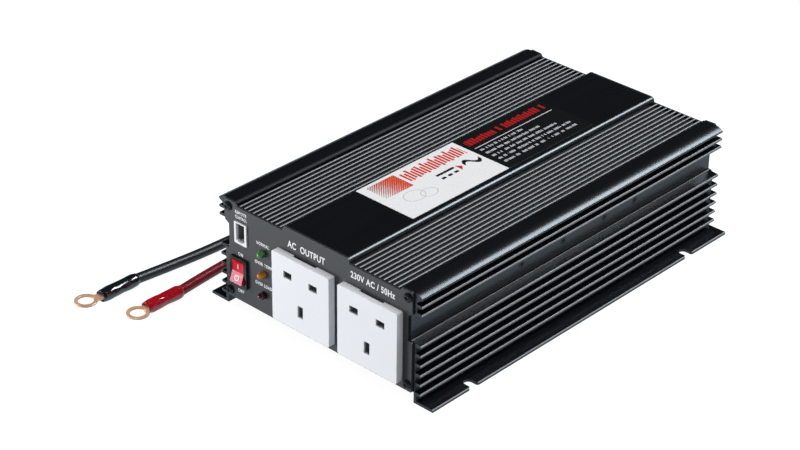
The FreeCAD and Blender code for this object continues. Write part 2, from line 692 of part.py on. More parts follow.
# --------------------------------------------------------------------- switch
def rocker_switch():
    body = new_body("switch_bezel")
    place(body, switch_x, front_y, switch_z)
    w = bezel_wide / 2
    h = bezel_tall / 2
    hollow = rect(-5.35, -8.65, 5.35, 8.65)
    slab_y(body, [soft_rect(-w, -h, w, h, 0.8), hollow], [], -bezel_proud, bezel_proud)
    slab_y(body, [rect(-6.5, -9.5, 6.5, 9.5), rect(-5.35, -8.65, 5.35, 8.65)], [], 0.0, 13.0)
    slab_y(body, [rect(-6.5, -9.5, 6.5, 9.5)], [], 13.0, 1.6)
    axle = add_sketch(body, "YZ_Plane", [], [(Q(0, "0"), Q(0, "0"), pivot_rad + pivot_gap)], 0.0)
    add_pocket(body, axle, 12.7, both=True)
    publish(body, "switch_bezel")

    keep = new_body("rocker")
    place(keep, switch_x, front_y, switch_z)
    shape = [(-2.0, 9.5), (-1.97, 0.34), (-4.59, -6.94), (-5.3, -9.5), (2.4, -9.5), (2.4, -2.2)]
    shape += [(7.0, -1.4), (7.0, 1.4), (2.4, 2.2), (2.4, 9.5)]
    profile = add_sketch(keep, "YZ_Plane", [shape], [], -rocker_wide / 2)
    add_pad(keep, profile, rocker_wide)
    drum = rod("rocker_drum", (switch_x - rocker_wide / 2 - 1, front_y, switch_z), rocker_rad, rocker_wide + 2, "X")
    rounded = common("rocker_rounded", keep, drum)
    pins = []
    pins.append(rod("trunnion", (switch_x - 6.2, front_y, switch_z), pivot_rad, 12.4, "X"))
    publish(fuse("rocker", [rounded] + pins), "rocker")

    tabs = []
    for z in (5.4, -1.8, -5.9):
        tabs.append(box("tab", (switch_x - 2.4, front_y + 14.6, switch_z + z), (4.8, 8.0, 0.8)))
    publish(group("switch_tabs", tabs), "switch_tabs")


# ----------------------------------------------------------------- small parts
def remote_jack():
    body = new_body("remote_jack")
    place(body, jack_x, front_y, jack_z)
    hollow = [(-3.8, -5.4), (-2.2, -5.4), (-2.2, -6.3), (2.2, -6.3), (2.2, -5.4), (3.8, -5.4)]
    hollow += [(3.8, 7.0), (-3.8, 7.0)]
    slab_y(body, [soft_rect(-5.5, -7.75, 5.5, 7.75, 0.5), list(hollow)], [], -1.0, 1.0)
    slab_y(body, [rect(-4.9, -7.15, 4.9, 7.15), list(hollow)], [], 0.0, 12.0)
    slab_y(body, [rect(-4.9, -7.15, 4.9, 7.15)], [], 12.0, 4.0)
    publish(body, "remote_jack")
    wires = []
    for i in range(4):
        x = -1.9 + 1.27 * i
        wires.append(box("jackwire", (jack_x + x - 0.25, front_y + 1.0, jack_z + 5.0), (0.5, 11.0, 0.45)))
    publish(group("jack_contacts", wires), "jack_contacts")


def led(name, z):
    body = new_body(name)
    place(body, led_x, front_y, z)
    dome_y = -(led_proud - led_rad)
    r = num(led_rad)
    half = [(Q(0, "0"), -led_proud, -1.0 * r), (led_rad, dome_y), (led_rad, panel_thk)]
    half[0] = (0, -led_proud, r * -1.0)
    half += [(led_rad + 0.55, panel_thk), (led_rad + 0.55, panel_thk + 1.0), (0, panel_thk + 1.0)]
    sketch = add_sketch(body, "XY_Plane", [half], [], 0.0)
    turn = body.newObject("PartDesign::Revolution", unique("Turn"))
    turn.Profile = sketch
    turn.ReferenceAxis = (sketch, ["V_Axis"])
    turn.Angle = 360.0
    body.Tip = turn
    wires = [body]
    for dx in (-1.27, 1.27):
        wires.append(rod("ledwire", (led_x + dx, front_y + panel_thk + 0.9, z), 0.3, 13.6))
    publish(fuse(name, wires), name)


def indicator_board():
    body = new_body("indicator_board")
    x = led_x
    shape = [(jack_x - 6.5, 48.5), (x - 7.0, 48.5), (x - 7.0, 13.0), (x + 7.0, 13.0), (x + 7.0, 68.0)]
    shape += [(jack_x - 6.5, 68.0)]
    slab_y(body, [shape], [], front_y + 16.0, board_thk)
    publish(body, "indicator_board")


def label():
    sheet_label = box("label", (label_left, front_y + label_front, case_top),
                      (label_right - label_left, label_rear - label_front, label_thk))
    publish(sheet_label, "top_label")


# ------------------------------------------------------------------------ fan
def fan():
    body = new_body("fan_frame")
    place(body, fan_x, rear_in - fan_deep, fan_z)
    s = fan_side / 2
    holes = [(fan_hole * a, fan_hole * b, 2.2) for a in (1, -1) for b in (1, -1)]
    slab_y(body, [soft_rect(-s, -s, s, s, 4.0)], [(Q(0, "0"), Q(0, "0"), fan_bore)] + holes, 0.0, fan_deep)
    slab_y(body, [], [(Q(0, "0"), Q(0, "0"), 14.2)], fan_deep - 1.8, 1.6)
    slab_y(body, [], [(Q(0, "0"), Q(0, "0"), 3.4)], 4.2, fan_deep - 5.0)
    for turn in (20, 110, 200, 290):
        a = math.radians(turn)
        ux, uz = math.cos(a), math.sin(a)
        wx, wz = -uz * 1.5, ux * 1.5
        strut = [(13.0 * ux - wx, 13.0 * uz - wz), (29.6 * ux - wx, 29.6 * uz - wz)]
        strut += [(29.6 * ux + wx, 29.6 * uz + wz), (13.0 * ux + wx, 13.0 * uz + wz)]
        slab_y(body, [strut], [], fan_deep - 1.8, 1.6)
    bore = add_sketch(body, "XZ_Plane", [], [(Q(0, "0"), Q(0, "0"), shaft_rad + shaft_gap)], -9.0)
    add_pocket(body, bore, 10.0, both=True)
    publish(body, "fan_frame")

    rotor = new_body("fan_rotor")
    place(rotor, fan_x, rear_in - fan_deep, fan_z)
    slab_y(rotor, [], [(Q(0, "0"), Q(0, "0"), hub_rad)], 1.2, 1.4)
    ring = [(Q(0, "0"), Q(0, "0"), hub_rad), (Q(0, "0"), Q(0, "0"), hub_rad - 1.3)]
    slab_y(rotor, [], ring, 2.5, 9.6)
    slab_y(rotor, [], [(Q(0, "0"), Q(0, "0"), shaft_rad)], 2.0, 10.6)
    blade = [(1.6, -5.2), (2.6, -5.6), (11.6, 4.8), (11.0, 5.4)]
    sketch = add_sketch(rotor, "YZ_Plane", [blade], [], hub_rad - 0.9)
    wing = add_pad(rotor, sketch, blade_tip - hub_rad)
    spin = rotor.newObject("PartDesign::PolarPattern", "Blades")
    spin.Originals = [wing]
    spin.Axis = (origin_axis(rotor, "Y_Axis"), [""])
    spin.Angle = 360.0
    spin.Occurrences = 7
    rotor.Tip = spin
    publish(rotor, "fan_rotor")

    coil = rod("coil", (fan_x, rear_in - fan_deep + 4.4, fan_z), 9.5, 7.0)
    coil_hole = rod("coil", (fan_x, rear_in - fan_deep + 4.0, fan_z), 3.7, 9.0)
    publish(cut("fan_stator", coil, [coil_hole]), "fan_stator")

    guard = []
    guard_y = rear_out + 2.6
    for r in (9.0, 15.5, 22.0, 28.5):
        guard.append(torus("wire", (fan_x, guard_y, fan_z), r, 0.8))
    for turn in (45, 135):
        obj = doc.addObject("Part::Cylinder", unique("spoke"))
        bind(obj, "Radius", 0.8)
        bind(obj, "Height", 66.0)
        a = math.radians(turn)
        base = V(-33.0 * math.cos(a), 0, -33.0 * math.sin(a))
        aim = FreeCAD.Rotation(V(0, 0, 1), V(math.cos(a), 0, math.sin(a)))
        place(obj, fan_x + base.x, guard_y + 0.0, fan_z + base.z, aim)
        guard.append(obj)
    for dx in (1, -1):
        for dz in (1, -1):
            eye = rod("eye", (fan_x + fan_hole * dx, rear_out, fan_z + fan_hole * dz), 4.2, 3.4)
            guard.append(eye)
    holes = []
    for dx in (1, -1):
        for dz in (1, -1):
            holes.append(rod("eye", (fan_x + fan_hole * dx, rear_out - 1, fan_z + fan_hole * dz), 2.2, 6.0))
    publish(cut("fan_guard", fuse("guard", guard), holes), "fan_guard")

    screws = []
    for dx in (1, -1):
        for dz in (1, -1):
            x = fan_x + fan_hole * dx
            z = fan_z + fan_hole * dz
            head = rod("fanscrew", (x, rear_out + 3.4, z), 3.3, 1.6)
            shank = rod("fanscrew", (x, rear_in - fan_deep - 3.0, z), 1.8, fan_deep + panel_thk + 6.6)
            nut = hexagon("fanscrew", (x, rear_in - fan_deep - 2.6, z), 7.0, 2.6)
            drive = box("fanscrew", (x - 1.8, rear_out + 4.2, z - 0.4), (3.6, 1.2, 0.8))
            drive_b = box("fanscrew", (x - 0.4, rear_out + 4.2, z - 1.8), (0.8, 1.2, 3.6))
            screws.append(cut("fanscrew", fuse("fanscrew", [head, shank, nut]), [drive, drive_b]))
    publish(group("fan_screws", screws), "fan_screws")


def origin_axis(body, role):
    return origin_plane(body, role)


# ----------------------------------------------------------------- rear pieces
def lead_bushing(name, x):
    body = new_body(name)
    place(body, x, rear_out, gland_z)
    half = [(0, -panel_thk - 4.0), (8.4, -panel_thk - 4.0), (8.4, -panel_thk), (5.9, -panel_thk)]
    half += [(5.9, 0.0), (8.8, 0.0), (8.8, 2.4), (7.0, 3.2), (4.9, gland_out - 0.6), (4.4, gland_out)]
    half += [(0, gland_out)]
    sketch = add_sketch(body, "XY_Plane", [half], [], 0.0)
    turn = body.newObject("PartDesign::Revolution", unique("Turn"))
    turn.Profile = sketch
    turn.ReferenceAxis = (sketch, ["V_Axis"])
    turn.Angle = 360.0
    body.Tip = turn
    publish(body, name)


def earth_terminal():
    x, z = stud_x, stud_z
    head = hexagon("earth", (x, rear_in - 3.0, z), 7.0, 3.0)
    shank = rod("earth", (x, rear_in - 1.0, z), stud_core, panel_thk + 1.0 + stud_out - 4.4)
    tip = rod("earth", (x, rear_out + stud_out - 5.0, z), stud_rad, 5.0)
    publish(fuse("earth_stud", [head, shank, tip]), "earth_stud")
    washer = rod("earthnut", (x, rear_out, z), 5.0, 1.0)
    nut = hexagon("earthnut", (x, rear_out + 1.0, z), 7.6, 3.4)
    wing = hexagon("earthnut", (x, rear_out + 4.4, z), 7.0, 1.2)
    bore = rod("earthnut", (x, rear_out - 1.0, z), stud_core + screw_gap, 9.0)
    publish(cut("earth_nut", fuse("earthnut", [washer, nut, wing]), [bore]), "earth_nut")


# ------------------------------------------------------------------- internals
def heat_spread(side, sign):
    """Power transistors clamped against the inside of the cove wall."""
    wall = cove_x - wall_thk
    y_low = front_y + clamp_first - 18
    length = clamp_fourth - clamp_first + 36
    spots = [clamp_first, clamp_second, clamp_third, clamp_fourth]

    def slab(name, near, thick, z_low, tall, y_from, y_size):
        if sign > 0:
            return box(name, (near - thick, y_from, z_low), (thick, y_size, tall))
        return box(name, (-near, y_from, z_low), (thick, y_size, tall))

    def bores(name):
        made = []
        for s in spots:
            start = wall * sign - 20
            made.append(rod(name, (start, front_y + s, clamp_z), 1.8, 40.0, "X"))
        return made

    pad = cut("pad", slab("pad", wall, 0.3, 46.0, 14.0, y_low, length), bores("pad"))
    fets = []
    for y in (-11.5, 11.5, 30.0, 52.5, 71.5, 90.0, 101.0, 126.0):
        centre = front_y + clamp_first + y
        fets.append(slab("fet", wall - 0.3, 4.4, 46.0, 9.2, centre - 5.0, 10.0))
        fets.append(slab("fet", wall - 0.3, 1.3, 55.1, 5.0, centre - 5.0, 10.0))
        for step in (-2.54, 0, 2.54):
            fets.append(slab("fet", wall - 2.6, 0.6, board_top, 46.2 - board_top, centre + step - 0.4, 0.8))
    bar = cut("bar", slab("bar", wall - 4.7, 2.0, 48.5, 8.0, y_low, length), bores("bar"))
    publish(fuse("transistors_" + side, fets), "transistors_" + side)
    publish(bar, "clamp_bar_" + side)
    screws = []
    for s in spots:
        y = front_y + s
        if sign > 0:
            head = rod("clamp", (cove_x - 1.0, y, clamp_z), clamp_head, 1.0, "X")
            shank = rod("clamp", (wall - 9.6, y, clamp_z), 1.5, 11.0, "X")
            nut = hexagon("clamp", (wall - 9.1, y, clamp_z), 5.5, 2.4, "X")
            drive = box("clamp", (cove_x - 0.7, y - 1.4, clamp_z - 0.35), (1.0, 2.8, 0.7))
            drive_b = box("clamp", (cove_x - 0.7, y - 0.35, clamp_z - 1.4), (1.0, 0.7, 2.8))
        else:
            head = rod("clamp", (-cove_x, y, clamp_z), clamp_head, 1.0, "X")
            shank = rod("clamp", (-wall - 1.4, y, clamp_z), 1.5, 11.0, "X")
            nut = hexagon("clamp", (-wall + 6.7, y, clamp_z), 5.5, 2.4, "X")
            drive = box("clamp", (-cove_x - 0.3, y - 1.4, clamp_z - 0.35), (1.0, 2.8, 0.7))
            drive_b = box("clamp", (-cove_x - 0.3, y - 0.35, clamp_z - 1.4), (1.0, 0.7, 2.8))
        screws.append(cut("clamp", fuse("clamp", [head, shank, nut]), [drive, drive_b]))
    return pad, screws


def main_board():
    body = new_body("main_board")
    x = board_half
    y_low = front_y + 40.0
    y_high = rear_in - fan_deep - 8.0
    outline = [(-x, y_low), (x, y_low), (x, y_high), (-x, y_high)]
    sketch = add_sketch(body, "XY_Plane", [outline], [], board_z)
    add_pad(body, sketch, board_thk)
    publish(body, "main_board")


def transformer(number, cx, cy):
    body = new_body("core")
    place(body, cx, cy - core_deep / 2, board_top)
    w = core_wide / 2
    outer = rect(-w, 0.0, w, core_tall)
    windows = [rect(-15.6, 6.4, -7.0, core_tall - 6.4), rect(7.0, 6.4, 15.6, core_tall - 6.4)]
    slab_y(body, [outer] + windows, [], 0.0, core_deep)
    publish(body, "transformer_core_%d" % number)
    coil = new_body("coil")
    place(coil, cx, cy, board_top)
    outside = soft_rect(-15.2, -15.4, 15.2, 15.4, 4.0)
    inside = rect(-7.3, -8.3, 7.3, 8.3)
    sketch = add_sketch(coil, "XY_Plane", [outside, inside], [], 6.8)
    add_pad(coil, sketch, core_tall - 13.6)
    publish(coil, "transformer_coil_%d" % number)


def can(name, x, y, radius, tall):
    base = rod(name, (x, y, board_top), radius - 0.5, 2.0, "Z")
    wall = rod(name, (x, y, board_top + 1.8), radius, tall - 3.0, "Z")
    top = rod(name, (x, y, board_top + tall - 1.4), radius - 0.6, 1.4, "Z")
    return fuse(name, [base, wall, top])


def board_parts():
    y = front_y
    inputs = [can("in_cap", -62.0, y + 252.0, 8.0, 31.0), can("in_cap", -44.0, y + 226.0, 8.0, 31.0)]
    inputs += [can("in_cap", -26.0, y + 226.0, 8.0, 31.0), can("in_cap", -8.0, y + 226.0, 8.0, 31.0)]
    publish(group("input_capacitors", inputs), "input_capacitors")
    publish(can("bus_capacitor", 52.0, y + 92.0, 13.0, 38.0), "bus_capacitor")
    ring_z = board_top + 7.2
    core = torus("choke", (-46.0, y + 84.0, ring_z), 12.0, 4.6, "Z")
    publish(core, "choke_core")
    wound = torus("wound", (-46.0, y + 84.0, ring_z), 12.0, 7.2, "Z")
    free = torus("wound", (-46.0, y + 84.0, ring_z), 12.0, 5.0, "Z")
    gap = box("wound", (-46.0 - 4.0, y + 84.0, ring_z - 9.0), (8.0, 30.0, 18.0))
    publish(cut("choke_winding", wound, [free, gap]), "choke_winding")
    holders = []
    blades = []
    for i in range(3):
        x = 6.0 + 9.0 * i
        holders.append(box("holder", (x, y + 232.0, board_top), (6.6, 21.0, 10.0)))
        blades.append(box("fuse", (x + 1.2, y + 232.9, board_top + 10.0), (4.2, 19.2, 8.5)))
    publish(group("fuse_holders", holders), "fuse_holders")
    publish(group("blade_fuses", blades), "blade_fuses")
    sheet_b = box("card", (8.0, y + 62.0, board_top), (board_thk, 66.0, 34.0))
    chips = [box("card", (8.0 + board_thk - 0.1, y + 72.0, board_top + 12.0), (2.6, 20.0, 9.0))]
    chips.append(box("card", (8.0 + board_thk - 0.1, y + 100.0, board_top + 10.0), (2.6, 16.0, 12.0)))
    publish(fuse("control_board", [sheet_b] + chips), "control_board")
    buzzer_body = rod("buzzer", (-40.0, y + 55.0, board_top), 6.0, 9.5, "Z")
    buzzer_hole = rod("buzzer", (-40.0, y + 55.0, board_top + 7.0), 1.2, 4.0, "Z")
    publish(cut("buzzer", buzzer_body, [buzzer_hole]), "buzzer")


# ----------------------------------------------------------------------- tubes
def tangent_path(points):
    """Straight runs joined by tangent arcs."""
    edges = []
    radii = []
    here = points[0]
    for i in range(1, len(points) - 1):
        before = points[i - 1].sub(points[i])
        after = points[i + 1].sub(points[i])
        run = min(before.Length, after.Length)
        u = V(before).normalize()
        w = V(after).normalize()
        turn = math.pi - u.getAngle(w)
        radius = 0.45 * run / math.tan(turn / 2)
        back = 0.45 * run
        start = points[i].add(V(u).multiply(back))
        end = points[i].add(V(w).multiply(back))
        bisector = V(u).add(w).normalize()
        middle_far = radius / math.cos(turn / 2) - radius
        middle = points[i].add(V(bisector).multiply(middle_far))
        edges.append(Part.LineSegment(here, start).toShape())
        edges.append(Part.Arc(start, middle, end).toShape())
        radii.append(radius)
        here = end
    edges.append(Part.LineSegment(here, points[-1]).toShape())
    return Part.Wire(edges), radii


def tube(name, points, radius):
    wire, radii = tangent_path(points)
    start = points[0]
    aim = points[1].sub(points[0])
    ring = Part.Wire([Part.Circle(start, aim, radius).toShape()])
    pipe = wire.makePipeShell([ring], True, False)
    ideal = math.pi * radius * radius * wire.Length
    if abs(pipe.Volume - ideal) > 0.02 * ideal:
        raise RuntimeError("%s volume %.1f against %.1f" % (name, pipe.Volume, ideal))
    print("%s length %.1f mm, bend radii %s" % (name, wire.Length, [round(r, 1) for r in radii]))
    obj = doc.addObject("Part::Feature", unique(name))
    obj.Shape = pipe
    return obj, wire


def spot(x, back, z):
    return V(x, num(front_y) + back, z)


# Lead routes: across, behind the front panel, above the floor.
BLACK_ROUTE = [
    (num(gland_black_x), 314.0, 32.0), (-10.2, 344.7, 26.0), (-39.3, 374.0, 14.0),
    (-103.7, 374.0, 4.6), (-133.0, 344.7, 3.55), (-132.0, 286.0, 3.52), (-133.5, 218.0, 3.52),
    (-131.5, 150.0, 3.52), (-133.0, 90.0, 3.52), (-134.4, 38.0, 3.52), (-137.6, 2.0, 3.7),
    (-139.8, -27.0, 4.95),
]
RED_ROUTE = [
    (num(gland_red_x), 314.0, 32.0), (-32.2, 342.0, 25.6), (-55.4, 365.0, 14.0),
    (-88.6, 365.0, 5.4), (-112.0, 341.6, 3.6), (-113.6, 288.0, 3.52), (-111.6, 228.0, 3.52),
    (-113.4, 166.0, 3.52), (-112.2, 104.0, 3.52), (-114.4, 42.0, 3.52), (-111.7, 6.0, 3.9),
    (-108.1, -17.0, 4.95),
]


def terminal(name, route, tip, ring_centre):
    """Crimped ring at the end of a lead with its shrink sleeve."""
    end = spot(*route[-1])
    tip_v = spot(*tip)
    ring_v = spot(*ring_centre)
    along = tip_v.sub(end)
    length = along.Length
    aim = FreeCAD.Rotation(V(0, 0, 1), along)
    pieces = []
    profile = [(0.0, 4.3, 4.9), (6.0, 4.9, 5.0), (16.0, 5.0, 4.4), (20.0, 4.4, 4.9), (26.0, 4.9, 4.6)]
    stations = [0.0, 5.0, 15.0, 19.5, 26.0, length]
    widths = [4.1, 4.7, 4.7, 4.2, 4.9, 4.4]
    for i in range(len(stations) - 1):
        part = doc.addObject("Part::Cone", unique(name))
        part.Radius1 = widths[i]
        part.Radius2 = widths[i + 1] + (0.0001 if widths[i] == widths[i + 1] else 0.0)
        part.Height = stations[i + 1] - stations[i]
        spot_on = end.add(V(along).normalize().multiply(stations[i]))
        part.Placement = FreeCAD.Placement(spot_on, aim)
        pieces.append(part)
    sleeve = fuse(name + "_sleeve", pieces)
    publish(sleeve, name + "_sleeve")
    reach = ring_v.sub(tip_v)
    flat = V(reach.x, reach.y, 0)
    yaw = math.degrees(math.atan2(flat.y, flat.x))
    level = num(ring_thk)
    disc = doc.addObject("Part::Cylinder", unique(name))
    bind(disc, "Radius", ring_rad)
    bind(disc, "Height", ring_thk)
    disc.Placement = FreeCAD.Placement(V(ring_v.x, ring_v.y, ring_v.z), FreeCAD.Rotation())
    neck = doc.addObject("Part::Box", unique(name))
    neck.Length = flat.Length
    neck.Width = 7.2
    neck.Height = level
    turn = FreeCAD.Rotation(V(0, 0, 1), yaw)
    corner = V(tip_v.x, tip_v.y, ring_v.z).add(turn.multVec(V(0, -3.6, 0)))
    neck.Placement = FreeCAD.Placement(corner, turn)
    hole = doc.addObject("Part::Cylinder", unique(name))
    bind(hole, "Radius", ring_hole)
    hole.Height = 6.0
    hole.Placement = FreeCAD.Placement(V(ring_v.x, ring_v.y, ring_v.z - 2), FreeCAD.Rotation())
    publish(cut(name + "_ring", fuse(name + "_ringf", [disc, neck]), [hole]), name + "_ring")


def supply_leads():
    for name, route in (("lead_black", BLACK_ROUTE), ("lead_red", RED_ROUTE)):
        obj, wire = tube(name, [spot(*p) for p in route], num(lead_rad))
        publish(obj, name)
    terminal("lead_black", BLACK_ROUTE, (-139.9, -57.2, 5.0), (-142.8, -67.3, 4.2))
    terminal("lead_red", RED_ROUTE, (-108.6, -46.0, 5.0), (-107.8, -53.5, 4.2))


def inner_wiring():
    wires = []
    for name, x in (("red", num(gland_red_x)), ("black", num(gland_black_x))):
        route = [(x, 293.5, 32.0), (x + 0.2, 284.5, 32.9), (x - 0.2, 275.5, 36.2), (x, 266.0, 37.2)]
        obj, wire = tube("tail_" + name, [spot(*p) for p in route], 2.6)
        wires.append(obj)
    publish(group("dc_tails", wires), "dc_tails")
    mains = []
    for x, target in ((-19.7, -16.0), (2.5, -8.0), (37.7, 40.0), (59.9, 52.0)):
        near = x + (target - x) * 0.15
        far = x + (target - x) * 0.7
        route = [(x, 25.5, 49.5), (near, 34.5, 48.9), (far, 44.0, 42.0), (target, 52.0, 36.8)]
        obj, wire = tube("mains", [spot(*p) for p in route], 1.2)
        mains.append(obj)
    publish(group("mains_wires", mains), "mains_wires")
    blocks = []
    for x in (num(gland_red_x), num(gland_black_x)):
        blocks.append(box("block", (x - 7.0, front_y + 252.0, board_top), (14.0, 14.0, 11.0)))
        blocks.append(rod("block", (x, front_y + 259.0, board_top + 10.9), 4.0, 1.6, "Z"))
    for x, wide in ((-20.0, 16.0), (36.0, 20.0)):
        blocks.append(box("block", (x, front_y + 52.0, board_top), (wide, 10.0, 9.5)))
    publish(fuse("board_terminals", blocks), "board_terminals")


top_cover()
base_extrusion()
front_panel()
rear_panel()
panel_screws()
outlet("left", outlet_left_x)
outlet("right", outlet_right_x)
rocker_switch()
remote_jack()
led("led_normal", led_normal_z)
led("led_over_temp", led_temp_z)
led("led_over_load", led_load_z)
indicator_board()
label()
fan()
lead_bushing("bushing_red", gland_red_x)
lead_bushing("bushing_black", gland_black_x)
earth_terminal()
left_pad, left_screws = heat_spread("left", -1)
right_pad, right_screws = heat_spread("right", 1)
publish(group("insulator_pads", [left_pad, right_pad]), "insulator_pads")
publish(group("clamp_screws", left_screws + right_screws), "clamp_screws")
main_board()
transformer(1, -26.0, front_y + 150.0)
transformer(2, 26.0, front_y + 150.0)
board_parts()
supply_leads()
inner_wiring()

doc.recompute()
bad = []
for obj in doc.Objects:
    state = [str(s) for s in obj.State]
    if "Invalid" in state or "Error" in state:
        bad.append("%s %s" % (obj.Name, state))
for name, obj in nodes:
    shape = obj.Shape
    if shape.isNull() or not shape.isValid() or shape.Volume <= 0:
        bad.append("%s shape" % name)
if bad:
    raise RuntimeError("; ".join(bad))
for name, obj in nodes:
    obj.Shape.exportStep("parts/%s.step" % name)
print("%d parts written" % len(nodes))
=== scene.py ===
import bpy
import bmesh
import math
from mathutils import Vector, Matrix


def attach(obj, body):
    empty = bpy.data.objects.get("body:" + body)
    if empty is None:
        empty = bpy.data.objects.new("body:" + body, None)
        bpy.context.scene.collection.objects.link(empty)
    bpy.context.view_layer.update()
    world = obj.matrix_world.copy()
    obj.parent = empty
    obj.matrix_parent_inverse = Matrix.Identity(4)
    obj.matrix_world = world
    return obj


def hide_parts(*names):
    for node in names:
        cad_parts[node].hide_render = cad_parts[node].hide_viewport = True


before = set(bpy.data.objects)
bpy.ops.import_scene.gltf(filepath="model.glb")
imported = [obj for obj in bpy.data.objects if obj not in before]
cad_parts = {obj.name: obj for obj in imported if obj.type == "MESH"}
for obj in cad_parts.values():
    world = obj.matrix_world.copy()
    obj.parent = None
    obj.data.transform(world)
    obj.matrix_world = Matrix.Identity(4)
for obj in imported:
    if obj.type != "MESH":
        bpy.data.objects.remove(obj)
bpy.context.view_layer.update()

MM = 0.001
FRONT = -0.152          # outer face of the front panel, metres
FRONT_BACK = 152.0      # millimetres added to Y to measure behind the front panel
BASE_FIN_FIRST = 7.2    # height of the lowest side fin of the base
BASE_FIN_PITCH = 6.99   # spacing of the side fins of the base
OUTLET_X = (-8.6, 48.8)
JACK_X = -66.5


def at(x, back, z):
    """Point given in millimetres: across, behind the front panel, above the floor."""
    return Vector((x * MM, FRONT + back * MM, z * MM))


# ---------------------------------------------------------------- camera
def set_camera():
    azimuth = math.radians(42.955)
    elevation = math.radians(30.367)
    roll = math.radians(0.723)
    level = math.cos(elevation)
    back = Vector((math.sin(azimuth) * level, -math.cos(azimuth) * level, math.sin(elevation)))
    right = back.cross(Vector((0, 0, 1))).normalized() * -1
    up = right.cross(back).normalized() * -1
    level_right = right * math.cos(roll) + up * math.sin(roll)
    level_up = -right * math.sin(roll) + up * math.cos(roll)
    data = bpy.data.cameras.new("view_camera")
    data.lens = 102.1
    data.sensor_width = 36.0
    data.clip_start = 0.05
    data.clip_end = 30.0
    cam = bpy.data.objects.new("view_camera", data)
    bpy.context.scene.collection.objects.link(cam)
    turn = Matrix((level_right, level_up, back)).transposed()
    cam.matrix_world = Matrix.Translation((0.84718, -0.98630, 0.78869)) @ turn.to_4x4()
    bpy.context.scene.camera = cam


set_camera()


# ---------------------------------------------------------------- node helpers
class Mat:
    """Small helper round one node material."""

    def __init__(self, name, color=(0.5, 0.5, 0.5), rough=0.5, metal=0.0, **extra):
        self.m = bpy.data.materials.new(name)
        self.m.use_nodes = True
        self.nt = self.m.node_tree
        self.bsdf = self.nt.nodes["Principled BSDF"]
        self.set("Base Color", (*color, 1.0))
        self.set("Roughness", rough)
        self.set("Metallic", metal)
        for key, value in extra.items():
            self.set(key.replace("_", " "), value)
        self.bump_from = None

    def set(self, socket, value):
        self.bsdf.inputs[socket].default_value = value

    def node(self, kind, **props):
        n = self.nt.nodes.new(kind)
        for k, v in props.items():
            setattr(n, k, v)
        return n

    def link(self, a, b):
        self.nt.links.new(a, b)

    def coords(self, scale=(1, 1, 1)):
        tc = self.node("ShaderNodeTexCoord")
        mp = self.node("ShaderNodeMapping")
        mp.inputs["Scale"].default_value = scale
        self.link(tc.outputs["Object"], mp.inputs["Vector"])
        return mp.outputs["Vector"]

    def noise(self, scale=(1, 1, 1), size=50.0, detail=3.0, rough=0.5):
        n = self.node("ShaderNodeTexNoise")
        n.inputs["Scale"].default_value = size
        n.inputs["Detail"].default_value = detail
        n.inputs["Roughness"].default_value = rough
        self.link(self.coords(scale), n.inputs["Vector"])
        return n.outputs["Fac"]

    def ramp(self, fac, stops):
        r = self.node("ShaderNodeValToRGB")
        el = r.color_ramp.elements
        while len(el) < len(stops):
            el.new(0.5)
        for e, (pos, col) in zip(el, stops):
            e.position = pos
            e.color = (*col, 1.0) if len(col) == 3 else col
        self.link(fac, r.inputs["Fac"])
        return r.outputs["Color"]

    def remap(self, fac, lo, hi, a=0.3, b=0.7):
        r = self.node("ShaderNodeMapRange")
        r.inputs["From Min"].default_value = a
        r.inputs["From Max"].default_value = b
        r.inputs["To Min"].default_value = lo
        r.inputs["To Max"].default_value = hi
        self.link(fac, r.inputs["Value"])
        return r.outputs["Result"]

    def math(self, op, a, b=None, c=None):
        n = self.node("ShaderNodeMath", operation=op)
        for i, v in enumerate((a, b, c)):
            if v is None:
                continue
            if isinstance(v, (int, float)):
                n.inputs[i].default_value = v
            else:
                self.link(v, n.inputs[i])
        return n.outputs[0]

    def mix(self, fac, a, b):
        n = self.node("ShaderNodeMix", data_type="RGBA")
        if isinstance(fac, (int, float)):
            n.inputs["Factor"].default_value = fac
        else:
            self.link(fac, n.inputs["Factor"])
        for sock, v in ((n.inputs[6], a), (n.inputs[7], b)):
            if isinstance(v, tuple):
                sock.default_value = (*v, 1.0) if len(v) == 3 else v
            else:
                self.link(v, sock)
        return n.outputs[2]

    def bump(self, height, strength=0.2, distance=0.0005):
        n = self.node("ShaderNodeBump")
        n.inputs["Strength"].default_value = strength
        n.inputs["Distance"].default_value = distance
        self.link(height, n.inputs["Height"])
        if self.bump_from is not None:
            self.link(self.bump_from, n.inputs["Normal"])
        self.bump_from = n.outputs["Normal"]
        self.link(self.bump_from, self.bsdf.inputs["Normal"])

    def color_from(self, out):
        self.link(out, self.bsdf.inputs["Base Color"])

    def rough_from(self, out):
        self.link(out, self.bsdf.inputs["Roughness"])


def tone(c, f):
    return tuple(min(1.0, v * f) for v in c)


def simple(name, color, rough, metal=0.0, grain=900.0, vary=0.12, bump=0.06,
           stretch=(1, 1, 1), spread=0.08, **extra):
    """Moulded or painted surface: fine grain, slow colour drift and varied gloss."""
    m = Mat(name, color, rough, metal, **extra)
    drift = m.noise(stretch, 28.0, 3.0)
    m.color_from(m.ramp(drift, [(0.3, tone(color, 1 - vary)), (0.7, tone(color, 1 + vary))]))
    fine = m.noise(stretch, grain, 2.0)
    m.rough_from(m.remap(fine, max(0.02, rough - spread), min(1.0, rough + spread)))
    m.bump(fine, bump, 0.00012)
    return m.m


